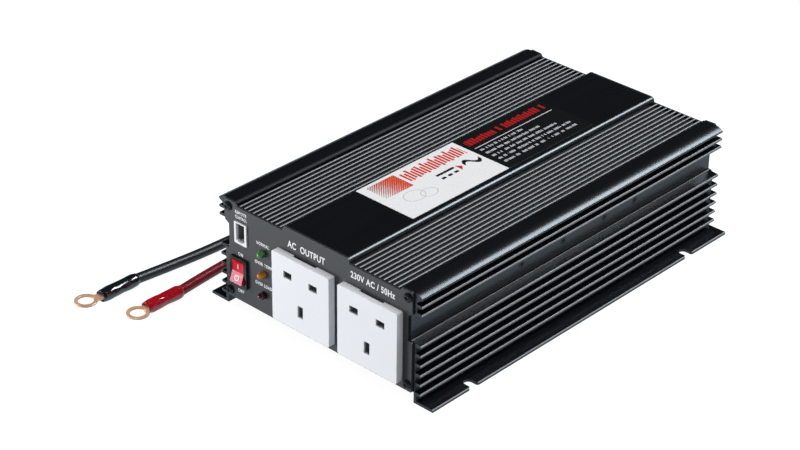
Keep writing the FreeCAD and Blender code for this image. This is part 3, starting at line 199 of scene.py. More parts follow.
# ---------------------------------------------------------------- materials
def anodised(name):
    """Satin black extrusion: fine lines along its length, with painted highlight lines in pale grey along
    its outer tips.
    """
    m = Mat(name, (0.010, 0.011, 0.0125), 0.3, 0.0)
    m.set("Specular IOR Level", 0.55)
    m.set("Specular Tint", (0.86, 0.93, 1.0, 1.0))
    tc = m.node("ShaderNodeTexCoord")
    sep = m.node("ShaderNodeSeparateXYZ")
    m.link(tc.outputs["Object"], sep.inputs["Vector"])
    x = m.math("MULTIPLY", m.math("ABSOLUTE", sep.outputs["X"]), 1000.0)
    z = m.math("MULTIPLY", sep.outputs["Z"], 1000.0)

    def band(v, lo, hi, soft=0.08):
        up = m.remap(v, 0.0, 1.0, lo - soft, lo + soft)
        return m.math("MULTIPLY", up, m.remap(v, 1.0, 0.0, hi - soft, hi + soft))

    def both(a, b):
        return m.math("MULTIPLY", a, b)

    lines = m.noise((1.0, 0.012, 1.0), 900.0, 3.0, 0.5)
    broad = m.noise((1.0, 0.05, 1.0), 90.0, 3.0)
    skin = m.ramp(broad, [(0.3, (0.0062, 0.0064, 0.0078)), (0.7, (0.0078, 0.0082, 0.0102))])
    top_tips = both(band(z, 76.60, 77.4), band(x, 31.0, 70.9))
    # painted highlight band on each base fin: a half at the fin's middle height, rising through its upper
    # side
    phase = m.math("MULTIPLY_ADD", z, 1 / BASE_FIN_PITCH, 0.5 - BASE_FIN_FIRST / BASE_FIN_PITCH)
    phase = m.math("FRACT", phase)
    base_tips = both(both(band(phase, 0.50, 0.66, 0.012), band(x, 87.15, 89.0)), band(z, 5.0, 45.0))
    cover_tips = both(m.math("MAXIMUM", band(z, 64.35, 65.4), band(z, 70.15, 71.2)), band(x, 87.6, 89.5))
    foot = both(band(z, 1.3, 2.2), band(x, 97.25, 98.5))
    ledge = both(band(z, 43.74, 44.4, 0.03), band(x, 79.36, 80.4, 0.03))
    tips = m.math("MAXIMUM", m.math("MAXIMUM", base_tips, cover_tips), m.math("MAXIMUM", foot, ledge))
    tips = m.math("MAXIMUM", tips, top_tips)
    # painted highlight: pale grey laid into the colour along the fin tips, foot edge and ledge bead,
    # standing in for the back lamp's reflection
    painted_tip_highlight = both(tips, m.remap(lines, 0.82, 1.0))
    m.color_from(m.mix(painted_tip_highlight, skin, (0.30, 0.305, 0.325)))
    # the left shoulder's inner edge is duller than the right one
    corner = both(band(x, 70.9, 73.2), band(z, 77.2, 79.0))
    dull = both(corner, m.math("LESS_THAN", sep.outputs["X"], 0.0))
    tip_roughness = m.math("MULTIPLY_ADD", tips, 0.18, m.remap(lines, 0.26, 0.31))
    m.rough_from(m.math("MULTIPLY_ADD", dull, 0.45, tip_roughness))
    m.bump(lines, 0.006, 0.00003)
    return m.m


def panel_paint(name):
    base = (0.029, 0.032, 0.035)
    m = Mat(name, base, 0.42, 0.0)
    m.set("Specular IOR Level", 0.36)
    speck = m.noise((1, 1, 1), 1500.0, 3.0)
    drift = m.noise((1, 1, 1), 18.0, 2.0)
    m.color_from(m.ramp(drift, [(0.3, tone(base, 0.9)), (0.7, tone(base, 1.12))]))
    m.rough_from(m.remap(speck, 0.34, 0.52))
    m.bump(speck, 0.12, 0.00008)
    return m.m


def rocker_red(name):
    m = Mat(name, (0.62, 0.012, 0.016), 0.16, 0.0)
    m.set("Coat Weight", 0.12)
    m.set("Coat Roughness", 0.06)
    m.set("Subsurface Weight", 0.25)
    m.set("Subsurface Radius", (0.004, 0.0008, 0.0006))
    m.set("Subsurface Scale", 0.6)
    glow = m.noise((1, 1, 1), 120.0, 2.0)
    tc = m.node("ShaderNodeTexCoord")
    sep = m.node("ShaderNodeSeparateXYZ")
    m.link(tc.outputs["Object"], sep.inputs["Vector"])
    # painted reflection: the colour turns from red at the top to magenta towards the bottom, standing in for
    # the lower facet's sheen
    height = m.remap(sep.outputs["Z"], 0.0, 1.0, 0.0215, 0.0365)
    stops = [(0.0, (0.60, 0.035, 0.14)), (0.45, (0.60, 0.016, 0.055)), (1.0, (0.62, 0.008, 0.012))]
    painted_reflection_ramp = m.ramp(height, stops)
    m.color_from(m.mix(m.remap(glow, 0.0, 0.3), painted_reflection_ramp, (0.42, 0.004, 0.016)))
    m.rough_from(m.remap(m.noise((1, 1, 1), 900.0), 0.12, 0.22))
    return m.m


def lens(name, core, rim):
    """Tinted indicator lens with a paler heart."""
    m = Mat(name, core, 0.12, 0.0)
    m.set("Coat Weight", 0.6)
    m.set("Coat Roughness", 0.04)
    m.set("Subsurface Weight", 0.3)
    m.set("Subsurface Radius", (0.002, 0.002, 0.002))
    m.set("Subsurface Scale", 0.5)
    n = m.noise((1, 1, 1), 260.0, 2.0)
    m.color_from(m.ramp(n, [(0.32, rim), (0.68, core)]))
    m.rough_from(m.remap(m.noise((1, 1, 1), 1200.0), 0.07, 0.16))
    return m.m


def cable_skin(name, color):
    m = Mat(name, color, 0.24, 0.0)
    m.set("Specular IOR Level", 0.6)
    m.set("Coat Weight", 0.08)
    m.set("Coat Roughness", 0.25)
    drift = m.noise((1, 1, 1), 90.0, 3.0)
    fine = m.noise((1, 1, 1), 1400.0, 2.0)
    m.color_from(m.ramp(drift, [(0.3, tone(color, 0.85)), (0.7, tone(color, 1.18))]))
    m.rough_from(m.remap(fine, 0.34, 0.44))
    m.bump(fine, 0.02, 0.0001)
    return m.m


def shrink_skin(name, color):
    m = Mat(name, color, 0.14, 0.0)
    m.set("Specular IOR Level", 0.65)
    m.set("Coat Weight", 0.7)
    m.set("Coat Roughness", 0.07)
    drift = m.noise((1, 1, 1), 120.0, 3.0)
    wave = m.noise((1, 1, 1), 330.0, 2.0)
    m.color_from(m.ramp(drift, [(0.3, tone(color, 0.8)), (0.7, tone(color, 1.2))]))
    m.rough_from(m.remap(wave, 0.1, 0.22))
    m.bump(wave, 0.22, 0.0004)
    return m.m


def copper(name, color=(0.93, 0.56, 0.36)):
    m = Mat(name, color, 0.3, 0.35)
    drift = m.noise((1, 1, 1), 240.0, 4.0)
    fine = m.noise((1, 1, 1), 2200.0, 3.0)
    m.color_from(m.ramp(drift, [(0.3, tone(color, 0.82)), (0.55, color), (0.75, (0.98, 0.72, 0.52))]))
    m.rough_from(m.remap(fine, 0.22, 0.38))
    m.bump(fine, 0.12, 0.0001)
    return m.m


def board_mat(name, base=(0.015, 0.11, 0.045)):
    m = Mat(name, base, 0.34)
    m.set("Coat Weight", 0.3)
    vor = m.node("ShaderNodeTexVoronoi", feature="DISTANCE_TO_EDGE", distance="MANHATTAN")
    vor.inputs["Scale"].default_value = 160.0
    m.link(m.coords(), vor.inputs["Vector"])
    track = m.math("LESS_THAN", vor.outputs["Distance"], 0.09)
    m.color_from(m.mix(track, base, tone(base, 1.9)))
    m.rough_from(m.remap(m.noise((1, 1, 1), 500.0), 0.26, 0.44))
    m.bump(track, 0.25, 0.00005)
    return m.m


def label_mat():
    """Printed film: pale field with bars and current signs, dark field with ticks in rows."""
    m = Mat("label_film", (0.8, 0.8, 0.82), 0.28)
    m.set("Coat Weight", 0.25)
    m.set("Coat Roughness", 0.15)
    tc = m.node("ShaderNodeTexCoord")
    sep = m.node("ShaderNodeSeparateXYZ")
    m.link(tc.outputs["Object"], sep.inputs["Vector"])
    x = m.math("MULTIPLY", sep.outputs["X"], 1000.0)
    y = m.math("MULTIPLY_ADD", sep.outputs["Y"], 1000.0, FRONT_BACK)

    def band(v, lo, hi):
        return m.math("MULTIPLY", m.math("GREATER_THAN", v, lo), m.math("LESS_THAN", v, hi))

    def patch(x0, x1, y0, y1):
        return m.math("MULTIPLY", band(x, x0, x1), band(y, y0, y1))

    def both(a, b):
        return m.math("MULTIPLY", a, b)

    film = m.noise((1, 1, 1), 60.0, 2.0)
    white = m.ramp(film, [(0.3, (0.93, 0.94, 0.96)), (0.7, (0.95, 0.96, 0.98))])
    red = (0.70, 0.045, 0.015)
    # halftone square whose dots grow towards the back
    du = m.math("SUBTRACT", m.math("FRACT", m.math("MULTIPLY", m.math("ADD", x, y), 0.5)), 0.5)
    dv = m.math("SUBTRACT", m.math("FRACT", m.math("MULTIPLY", m.math("SUBTRACT", x, y), 0.5)), 0.5)
    far = m.math("ADD", both(du, du), both(dv, dv))
    grow = m.remap(m.math("MULTIPLY_ADD", x, -0.45, y), 0.015, 0.36, 68.0, 96.0)
    dots = m.math("LESS_THAN", far, grow)
    shade = m.ramp(m.remap(y, 0.0, 1.0, 68.0, 84.0), [(0.0, (0.30, 0.05, 0.03)), (1.0, (0.72, 0.07, 0.02))])
    color = m.mix(both(patch(-23.5, -5.0, 68.5, 93.5), dots), white, shade)
    # row of upright bars of uneven height
    pitch = m.math("MULTIPLY", m.math("SUBTRACT", y, 96.0), 0.36)
    upright = m.math("LESS_THAN", m.math("FRACT", pitch), 0.66)
    level = m.math("SINE", m.math("MULTIPLY", m.math("FLOOR", pitch), 2.4))
    low = m.math("LESS_THAN", x, m.math("MULTIPLY_ADD", level, 0.8, -9.6))
    high = m.math("GREATER_THAN", x, m.math("MULTIPLY_ADD", level, 2.0, -20.6))
    color = m.mix(both(both(band(y, 96.0, 149.5), upright), both(low, high)), color, red)
    # direct current sign, a small pointer and an alternating current sign
    ink = (0.012, 0.012, 0.014)
    sign_start = 112.0
    sign_end = 128.6
    beats = m.math("FRACT", m.math("MULTIPLY", m.math("SUBTRACT", y, sign_start), 0.1667))
    beats = m.math("LESS_THAN", beats, 0.62)
    color = m.mix(patch(-3.6, -1.4, sign_start, sign_end), color, ink)
    color = m.mix(both(patch(1.4, 3.6, sign_start, sign_end), beats), color, ink)
    nose = m.math("ADD", m.math("ABSOLUTE", x), m.math("SUBTRACT", y, 131.0))
    color = m.mix(both(m.math("LESS_THAN", nose, 3.2), band(y, 130.4, 134.4)), color, (0.66, 0.03, 0.03))
    turn = m.math("MULTIPLY", m.math("SINE", m.math("MULTIPLY", m.math("SUBTRACT", y, 136.0), 0.4333)), -3.2)
    gap = m.math("ABSOLUTE", m.math("SUBTRACT", x, turn))
    color = m.mix(both(m.math("LESS_THAN", gap, 1.7), band(y, 136.0, 150.5)), color, ink)
    # thin grey rings
    for mid_x, mid_y, size in ((4.5, 84.0, 8.2), (8.0, 94.0, 6.4)):
        ex = m.math("MULTIPLY", m.math("SUBTRACT", x, mid_x), 1.35)
        ey = m.math("SUBTRACT", y, mid_y)
        ring = m.math("SQRT", m.math("ADD", both(ex, ex), both(ey, ey)))
        ring = m.math("LESS_THAN", m.math("ABSOLUTE", m.math("SUBTRACT", ring, size)), 0.26)
        color = m.mix(both(ring, 0.55), color, (0.20, 0.21, 0.23))
    # dark field
    color = m.mix(m.math("GREATER_THAN", y, 153.0), color, (0.009, 0.0095, 0.011))
    dark = band(y, 157.0, 235.0)

    def scatter(cells, lines):
        here = m.node("ShaderNodeCombineXYZ")
        m.link(m.math("FLOOR", cells), here.inputs[0])
        m.link(m.math("FLOOR", lines), here.inputs[1])
        rand = m.node("ShaderNodeTexWhiteNoise", noise_dimensions="2D")
        m.link(here.outputs[0], rand.inputs["Vector"])
        return rand.outputs["Value"]

    big = m.math("MULTIPLY", y, 0.34)
    jump = scatter(big, m.math("MULTIPLY", x, 0.01))
    blocks = both(m.math("LESS_THAN", m.math("FRACT", big), 0.70), m.math("GREATER_THAN", jump, 0.12))
    tall = m.math("GREATER_THAN", x, m.math("MULTIPLY_ADD", jump, 2.4, -21.6))
    strip = both(both(dark, blocks), both(tall, m.math("LESS_THAN", x, -14.0)))
    color = m.mix(strip, color, (0.50, 0.012, 0.014))
    color = m.mix(both(dark, band(x, -9.8, -9.1)), color, (0.75, 0.76, 0.78))
    # five rows of short pale ticks, uneven like print too small to read
    rows = m.math("MULTIPLY", m.math("ADD", x, 7.0), 0.19)
    ticks = m.math("MULTIPLY", y, 0.71)
    row_no = m.math("FLOOR", rows)
    chance = scatter(ticks, rows)
    words = m.math("MULTIPLY", y, 0.155)
    word = scatter(words, rows)
    deep = m.math("MULTIPLY_ADD", chance, 0.12, 0.04)
    within = m.math("FRACT", rows)
    line = both(m.math("GREATER_THAN", within, deep), m.math("LESS_THAN", within, 0.50))
    ends = m.math("MINIMUM", m.math("MULTIPLY_ADD", row_no, 11.0, 200.0), 231.0)
    tick = both(m.math("LESS_THAN", m.math("FRACT", ticks), 0.74), m.math("GREATER_THAN", chance, 0.10))
    split = m.math("GREATER_THAN", m.math("FRACT", words), m.math("MULTIPLY", word, 0.30))
    reach = both(m.math("GREATER_THAN", y, 158.0), m.math("LESS_THAN", y, ends))
    text = both(both(line, tick), both(split, reach))
    text = both(text, band(x, -6.9, 19.2))
    color = m.mix(text, color, (0.62, 0.63, 0.66))
    m.color_from(color)
    m.rough_from(m.remap(m.noise((1, 1, 1), 800.0), 0.24, 0.36))
    return m.m


def white_moulding(name, color, wells):
    """Smooth white plastic with painted shade that turns it darker with depth inside its openings."""
    m = Mat(name, color, 0.3, 0.0)
    tc = m.node("ShaderNodeTexCoord")
    sep = m.node("ShaderNodeSeparateXYZ")
    m.link(tc.outputs["Object"], sep.inputs["Vector"])
    x = m.math("MULTIPLY", sep.outputs["X"], 1000.0)
    z = m.math("MULTIPLY", sep.outputs["Z"], 1000.0)
    deep = m.math("MULTIPLY_ADD", sep.outputs["Y"], 1000.0, FRONT_BACK)
    drift = m.noise((1, 1, 1), 28.0, 3.0)
    shade = m.ramp(drift, [(0.3, tone(color, 0.985)), (0.7, tone(color, 1.015))])
    for mid, half, low, high, start in wells:
        near = m.math("LESS_THAN", m.math("ABSOLUTE", m.math("SUBTRACT", x, mid)), half)
        tall = m.math("MULTIPLY", m.math("GREATER_THAN", z, low), m.math("LESS_THAN", z, high))
        depth = m.remap(deep, 0.0, 1.0, -start, 1.2 - start)
        # painted shade: dark grey laid into the colour deeper inside each opening
        painted_well_shade = m.math("MULTIPLY", m.math("MULTIPLY", near, tall), depth)
        shade = m.mix(painted_well_shade, shade, (0.15, 0.155, 0.165))
    m.color_from(shade)
    fine = m.noise((1, 1, 1), 2600.0, 2.0)
    m.rough_from(m.remap(fine, 0.26, 0.34))
    m.bump(fine, 0.012, 0.00012)
    return m.m


BLACK_PLASTIC = simple("black_plastic", (0.014, 0.014, 0.015), 0.38, grain=1300.0, bump=0.1)
GLOSS_BLACK = simple("gloss_black", (0.010, 0.010, 0.011), 0.2, grain=900.0, bump=0.04)
# each well of painted shade: middle across, half width, lowest and highest point, how far in front of the
# panel it starts
OUTLET_WELLS = [(mid, 16.0, 20.0, 54.0, 4.6) for mid in OUTLET_X]
WHITE = white_moulding("outlet_white_plastic", (0.80, 0.825, 0.87), OUTLET_WELLS)
JACK_WELLS = [(JACK_X, 4.6, 52.0, 65.0, -0.4)]
JACK_WHITE = white_moulding("jack_white_plastic", (0.80, 0.825, 0.85), JACK_WELLS)
WHITE_MATT = simple("shutter_white_plastic", (0.22, 0.23, 0.24), 0.45, vary=0.03)
DARK_STEEL = simple("black_zinc_steel", (0.035, 0.036, 0.04), 0.3, metal=0.75, vary=0.2,
                    grain=1800.0, bump=0.12)
STEEL = simple("plain_steel", (0.55, 0.55, 0.56), 0.3, metal=1.0, vary=0.12, grain=1800.0, bump=0.1)
PLATED = simple("plated_wire", (0.66, 0.67, 0.69), 0.18, metal=1.0, vary=0.1, grain=1500.0, bump=0.06)
BRASS = simple("bare_brass", (0.78, 0.58, 0.26), 0.26, metal=1.0, vary=0.15, grain=1600.0, bump=0.08)
GOLD = simple("plated_contact", (0.86, 0.62, 0.25), 0.2, metal=1.0, vary=0.1, grain=1600.0, bump=0.05)
ENAMEL = simple("enamelled_copper", (0.48, 0.16, 0.055), 0.3, metal=0.8, vary=0.25,
                grain=500.0, bump=0.5, stretch=(0.15, 0.15, 1.0))
TAPE = simple("winding_tape", (0.62, 0.42, 0.05), 0.34, vary=0.15, grain=420.0, bump=0.2)
FERRITE = simple("ferrite", (0.03, 0.03, 0.033), 0.5, vary=0.25, grain=2400.0, bump=0.3)
EPOXY = simple("moulded_epoxy", (0.018, 0.018, 0.019), 0.5, vary=0.15, grain=1800.0, bump=0.2)
RUBBER = simple("rubber", (0.016, 0.016, 0.017), 0.55, vary=0.15, grain=1500.0, bump=0.2)
SILICONE = simple("silicone_pad", (0.42, 0.45, 0.42), 0.6, vary=0.1, grain=800.0, bump=0.2)
CAN = simple("capacitor_sleeve", (0.015, 0.03, 0.10), 0.25, vary=0.15, grain=600.0, bump=0.08)
FUSE = simple("fuse_body", (0.02, 0.16, 0.62), 0.2, vary=0.1, grain=700.0, bump=0.05)
TERMINAL = simple("terminal_plastic", (0.03, 0.26, 0.09), 0.4, vary=0.1, grain=900.0, bump=0.12)
WIRE = simple("wire_skin", (0.42, 0.03, 0.02), 0.35, vary=0.15, grain=900.0, bump=0.08)
BOARD = board_mat("solder_resist")
COVER = anodised("anodised_cover")
BASE = anodised("anodised_base")
PANEL = panel_paint("panel_paint")
LABEL = label_mat()
PRINT = simple("legend_ink", (0.78, 0.79, 0.80), 0.5, vary=0.04, grain=1200.0, bump=0.05)

NODE_MATERIALS = {
    "top_cover": COVER, "base_extrusion": BASE, "front_panel": PANEL, "rear_panel": PANEL,
    "front_panel_screws": DARK_STEEL, "rear_panel_screws": DARK_STEEL, "clamp_screws": DARK_STEEL,
    "fan_screws": DARK_STEEL, "outlet_left": WHITE, "outlet_right": WHITE, "remote_jack": JACK_WHITE,
    "shutter_left": WHITE_MATT, "shutter_right": WHITE_MATT, "contacts_left": BRASS, "contacts_right": BRASS,
    "switch_tabs": BRASS, "jack_contacts": GOLD, "switch_bezel": GLOSS_BLACK,
    "rocker": rocker_red("rocker_red_plastic"),
    "led_normal": lens("lens_green", (0.09, 0.24, 0.08), (0.03, 0.09, 0.035)),
    "led_over_temp": lens("lens_amber", (0.55, 0.20, 0.012), (0.28, 0.09, 0.006)),
    "led_over_load": lens("lens_red", (0.06, 0.005, 0.014), (0.03, 0.003, 0.007)),
    "indicator_board": BOARD, "main_board": BOARD, "control_board": BOARD, "top_label": LABEL,
    "fan_frame": BLACK_PLASTIC, "fan_rotor": BLACK_PLASTIC, "fan_stator": ENAMEL, "fan_guard": PLATED,
    "bushing_black": RUBBER, "bushing_red": RUBBER, "earth_stud": BRASS, "earth_nut": BRASS,
    "insulator_pads": SILICONE, "transistors_left": EPOXY, "transistors_right": EPOXY,
    "fuse_holders": EPOXY, "buzzer": EPOXY, "clamp_bar_left": STEEL, "clamp_bar_right": STEEL,
    "transformer_core_1": FERRITE, "transformer_core_2": FERRITE, "choke_core": FERRITE,
    "transformer_coil_1": TAPE, "transformer_coil_2": TAPE, "choke_winding": ENAMEL,
    "input_capacitors": CAN, "bus_capacitor": CAN, "blade_fuses": FUSE, "board_terminals": TERMINAL,
    "dc_tails": WIRE, "mains_wires": WIRE,
}
for node_name, material in NODE_MATERIALS.items():
    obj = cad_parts[node_name]
    if not obj.material_slots:
        obj.data.materials.append(material)
    for slot in obj.material_slots:
        slot.material = material


# ---------------------------------------------------------------- mesh helpers
def mesh_object(name, bm, material, smooth=True):
    me = bpy.data.meshes.new(name)
    bmesh.ops.recalc_face_normals(bm, faces=bm.faces[:])
    bm.to_mesh(me)
    bm.free()
    me.materials.append(material)
    if smooth:
        for p in me.polygons:
            p.use_smooth = True
    obj = bpy.data.objects.new(name, me)
    bpy.context.scene.collection.objects.link(obj)
    return obj


# ---------------------------------------------------------------- supply leads
LEAD_D = 0.007
BLACK_ROUTE = [
    (-10.0, 314.0, 32.0), (-10.2, 344.7, 26.0), (-39.3, 374.0, 14.0), (-103.7, 374.0, 4.6),
    (-133.0, 344.7, 3.55), (-132.0, 286.0, 3.52), (-133.5, 218.0, 3.52), (-131.5, 150.0, 3.52),
    (-133.0, 90.0, 3.52), (-134.4, 38.0, 3.52), (-137.6, 2.0, 3.7), (-139.8, -27.0, 4.95),
]
RED_ROUTE = [
    (-32.0, 314.0, 32.0), (-32.2, 342.0, 25.6), (-55.4, 365.0, 14.0), (-88.6, 365.0, 5.4),
    (-112.0, 341.6, 3.6), (-113.6, 288.0, 3.52), (-111.6, 228.0, 3.52), (-113.4, 166.0, 3.52),
    (-112.2, 104.0, 3.52), (-114.4, 42.0, 3.52), (-111.7, 6.0, 3.9), (-108.1, -17.0, 4.95),
]


def cord_curve(name, route, material):
    curve = bpy.data.curves.new(name, "CURVE")
    curve.dimensions = "3D"
    curve.resolution_u = 16
    curve.bevel_depth = LEAD_D / 2
    curve.bevel_resolution = 7
    curve.use_fill_caps = True
    spline = curve.splines.new("NURBS")
    spline.points.add(len(route) - 1)
    for point, (x, back, z) in zip(spline.points, route):
        spot = at(x, back, z)
        point.co = (spot.x, spot.y, spot.z, 1.0)
    spline.order_u = 3
    spline.use_endpoint_u = True
    spline.resolution_u = 16
    curve.materials.append(material)
    obj = bpy.data.objects.new(name, curve)
    bpy.context.scene.collection.objects.link(obj)
    return obj


def axes_along(start, end):
    ahead = (end - start).normalized()
    side = ahead.cross(Vector((0, 0, 1))).normalized()
    rise = side.cross(ahead).normalized()
    return ahead, side, rise


def shrink_sleeve(name, start, end, material, stations, lean):
    """Shrunk tube over a crimp: swollen over the barrel, waisted, then tight on the cable."""
    ahead, side, rise = axes_along(start, end)
    length = (end - start).length
    bm = bmesh.new()
    around = 40
    rings = []
    steps = 44
    for i in range(steps + 1):
        t = i / steps
        for k in range(len(stations) - 1):
            if stations[k][0] <= t <= stations[k + 1][0] + 1e-9:
                a, b = stations[k], stations[k + 1]
                break
        u = (t - a[0]) / (b[0] - a[0])
        u = u * u * (3 - 2 * u)
        wide = (a[1] + (b[1] - a[1]) * u) * MM
        tall = (a[2] + (b[2] - a[2]) * u) * MM
        centre = start + ahead * (length * t)
        ring = []
        for j in range(around):
            ang = 2 * math.pi * j / around
            ripple = 1 + 0.012 * math.sin(3 * ang + 9 * t + lean) + 0.01 * math.sin(5 * ang - 21 * t)
            across = side * (wide * math.cos(ang) * ripple)
            ring.append(bm.verts.new(centre + across + rise * (tall * math.sin(ang) * ripple)))
        rings.append(ring)
    inner = []
    mouth_wide = stations[-1][1] * MM
    mouth_tall = stations[-1][2] * MM
    for depth, shrink in ((0.0, 0.86), (-3.0, 0.84)):
        centre = end + ahead * (depth * MM)
        ring = []
        for j in range(around):
            ang = 2 * math.pi * j / around
            across = side * (mouth_wide * shrink * math.cos(ang))
            ring.append(bm.verts.new(centre + across + rise * (mouth_tall * shrink * math.sin(ang))))
        inner.append(ring)
    order = rings + inner
    for a, b in zip(order[:-1], order[1:]):
        for j in range(around):
            bm.faces.new((a[j], a[(j + 1) % around], b[(j + 1) % around], b[j]))
    bm.faces.new(list(reversed(rings[0])))
    bm.faces.new(inner[-1])
    return mesh_object(name, bm, material)


def ring_terminal(name, tip, centre, material, radius=7.7, hole=5.2, thick=1.5):
    """Stamped ring on a rolled barrel, edges rounded."""
    flat = Vector((centre.x - tip.x, centre.y - tip.y, 0))
    reach = flat.length
    ahead = flat.normalized()
    side = Vector((ahead.y, -ahead.x, 0))
    bm = bmesh.new()
    r = radius * MM
    h = hole * MM
    outer = []
    neck_half = 3.3 * MM
    join = math.asin(min(0.95, neck_half / r)) + 0.16
    count = 44
    for i in range(count + 1):
        ang = math.pi - join - (2 * math.pi - 2 * join) * i / count
        outer.append((math.cos(ang) * r, math.sin(ang) * r))
    start = -reach - 4.0 * MM
    outer += [(-r * 0.98, -neck_half * 1.02), (start, -neck_half * 0.96)]
    outer += [(start, neck_half * 0.96), (-r * 0.98, neck_half * 1.02)]
    outer_v = [bm.verts.new((x, y, 0)) for x, y in outer]
    hole_count = 48
    turns = [2 * math.pi * i / hole_count for i in range(hole_count)]
    inner_v = [bm.verts.new((math.cos(a) * h, math.sin(a) * h, 0)) for a in turns]
    edges = [bm.edges.new((outer_v[i], outer_v[(i + 1) % len(outer_v)])) for i in range(len(outer_v))]
    edges += [bm.edges.new((inner_v[i], inner_v[(i + 1) % hole_count])) for i in range(hole_count)]
    bmesh.ops.triangle_fill(bm, use_beauty=True, use_dissolve=False, edges=edges)
    for f in [f for f in bm.faces if f.calc_center_median().to_2d().length < h * 0.9]:
        bm.faces.remove(f)
    geo = bmesh.ops.extrude_face_region(bm, geom=bm.faces[:])
    for v in geo["geom"]:
        if isinstance(v, bmesh.types.BMVert):
            v.co.z += thick * MM
    rot = Matrix((ahead, side, Vector((0, 0, 1)))).transposed().to_4x4()
    bmesh.ops.transform(bm, matrix=Matrix.Translation(centre) @ rot, verts=bm.verts[:])
    obj = mesh_object(name, bm, material, smooth=False)
    bevel = obj.modifiers.new("edge", "BEVEL")
    bevel.width = 0.0004
    bevel.segments = 3
    bevel.limit_method = "ANGLE"
    bevel.angle_limit = math.radians(40)
    return obj


SKIN_BLACK = cable_skin("black_cable_skin", (0.012, 0.014, 0.017))
SKIN_RED = cable_skin("red_cable_skin", (0.22, 0.004, 0.014))
SHRINK_BLACK = shrink_skin("black_shrink_tube", (0.009, 0.011, 0.013))
SHRINK_RED = shrink_skin("red_shrink_tube", (0.42, 0.004, 0.012))
COPPER = copper("plated_copper")

# how far along the sleeve, half width, half height
BLACK_STATIONS = [
    (0.0, 4.1, 4.1), (0.08, 4.6, 4.55), (0.22, 4.7, 4.6), (0.45, 4.5, 4.35),
    (0.6, 4.75, 4.5), (0.8, 4.9, 4.6), (0.94, 4.8, 4.2), (1.0, 4.5, 3.8),
]
RED_STATIONS = [
    (0.0, 4.1, 4.1), (0.08, 4.7, 4.6), (0.28, 4.6, 4.5), (0.5, 4.5, 4.3),
    (0.66, 4.85, 4.5), (0.86, 4.9, 4.5), (1.0, 4.4, 3.7),
]
BLACK_TIP = at(-139.9, -57.2, 4.95)
BLACK_RING = at(-142.8, -67.3, 4.2)
RED_TIP = at(-108.6, -46.0, 4.95)
RED_RING = at(-107.8, -53.5, 4.2)

for label, route, skin, shrink, tip, centre, stations in (
    ("black", BLACK_ROUTE, SKIN_BLACK, SHRINK_BLACK, BLACK_TIP, BLACK_RING, BLACK_STATIONS),
    ("red", RED_ROUTE, SKIN_RED, SHRINK_RED, RED_TIP, RED_RING, RED_STATIONS),
):
    end = at(*route[-1])
    cord = cord_curve("cable_" + label, route, skin)
    sleeve = shrink_sleeve("shrink_" + label, end, tip, shrink, stations, 0.0 if label == "black" else 1.4)
    ring = ring_terminal("terminal_" + label, tip, centre, COPPER)
    for piece, node, slot in (
        (cord, "lead_" + label, "lead_%s_pvc" % label),
        (sleeve, "lead_%s_sleeve" % label, "sleeve_" + label),
        (ring, "lead_%s_ring" % label, "ring_copper"),
    ):
        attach(piece, "housing")
        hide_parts(node)


# ---------------------------------------------------------------- printed legends
def legend(name, text, x, z, wide, tall, spacing=1.18, weight=0.03):
    """Printed words fitted to a width and a letter height, in millimetres."""
    curve = bpy.data.curves.new(name, "FONT")
    curve.body = text
    curve.size = 0.01
    curve.space_character = spacing
    curve.align_x = "CENTER"
    curve.align_y = "CENTER"
    curve.extrude = 0.00003
    curve.offset = 0.01 * weight
    curve.materials.append(PRINT)
    obj = bpy.data.objects.new(name, curve)
    bpy.context.scene.collection.objects.link(obj)
    bpy.context.view_layer.update()
    have = obj.dimensions
    obj.scale = (wide * MM / have.x, tall * MM / have.y, 1.0)
    obj.location = at(x, -0.05, z)
    obj.rotation_euler = (math.radians(90.0), 0, 0)
    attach(obj, "housing")
    return obj


legend("legend_output", "AC  OUTPUT", -8.0, 68.75, 32.6, 4.9, spacing=1.1, weight=0.028)
legend("legend_rating", "230V AC / 50Hz", 48.6, 69.95, 37.0, 4.6, spacing=1.1, weight=0.028)
legend("legend_remote", "REMOTE", -66.6, 72.6, 10.1, 2.3)
legend("legend_control", "CONTROL", -66.4, 69.1, 10.7, 2.3)
legend("legend_on", "ON", -67.6, 42.3, 4.4, 2.5)
legend("legend_off", "OFF", -68.1, 14.8, 5.6, 2.5)
legend("legend_normal", "NORMAL", -47.0, 58.0, 11.4, 2.4)
legend("legend_temp", "OVER TEMP", -46.7, 43.4, 15.5, 2.4)
legend("legend_load", "OVER LOAD", -46.8, 28.2, 15.0, 2.4)

# rocker marks: a bar on the upper half and a ring on the lower half
MARK = simple("rocker_mark", (0.82, 0.62, 0.64), 0.35, vary=0.04, grain=1500.0, bump=0.03)


def rocker_marks():
    bm = bmesh.new()
    pivot = Vector((-68.4 * MM, FRONT, 29.5 * MM))
    top_y = -1.97 - 0.03
    lift = 4.4
    corners = [(-0.4, lift - 1.7), (0.4, lift - 1.7), (0.4, lift + 1.7), (-0.4, lift + 1.7)]
    face = [bm.verts.new(pivot + Vector((x * MM, top_y * MM, z * MM))) for x, z in corners]
    bm.faces.new(face)
    low_a = Vector((0, -1.97, 0.34))
    low_b = Vector((0, -4.59, -6.94))
    down = (low_b - low_a).normalized()
    out = Vector((0, down.z, -down.y)).normalized()
    middle = low_a + down * 4.1 + out * 0.03
    count = 36
    loops = []
    for radius in (1.3, 1.95):
        ring = []
        for i in range(count):
            ang = 2 * math.pi * i / count
            p = middle + Vector((math.cos(ang) * radius, 0, 0)) + down * (math.sin(ang) * radius)
            ring.append(bm.verts.new(pivot + p * MM))
        loops.append(ring)
    for i in range(count):
        j = (i + 1) % count
        bm.faces.new((loops[0][i], loops[0][j], loops[1][j], loops[1][i]))
    geo = bmesh.ops.extrude_face_region(bm, geom=bm.faces[:])
    for v in geo["geom"]:
        if isinstance(v, bmesh.types.BMVert):
            v.co.y += 0.06 * MM
    marks = mesh_object("rocker_marks", bm, MARK, smooth=False)
    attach(marks, "rocker")


rocker_marks()


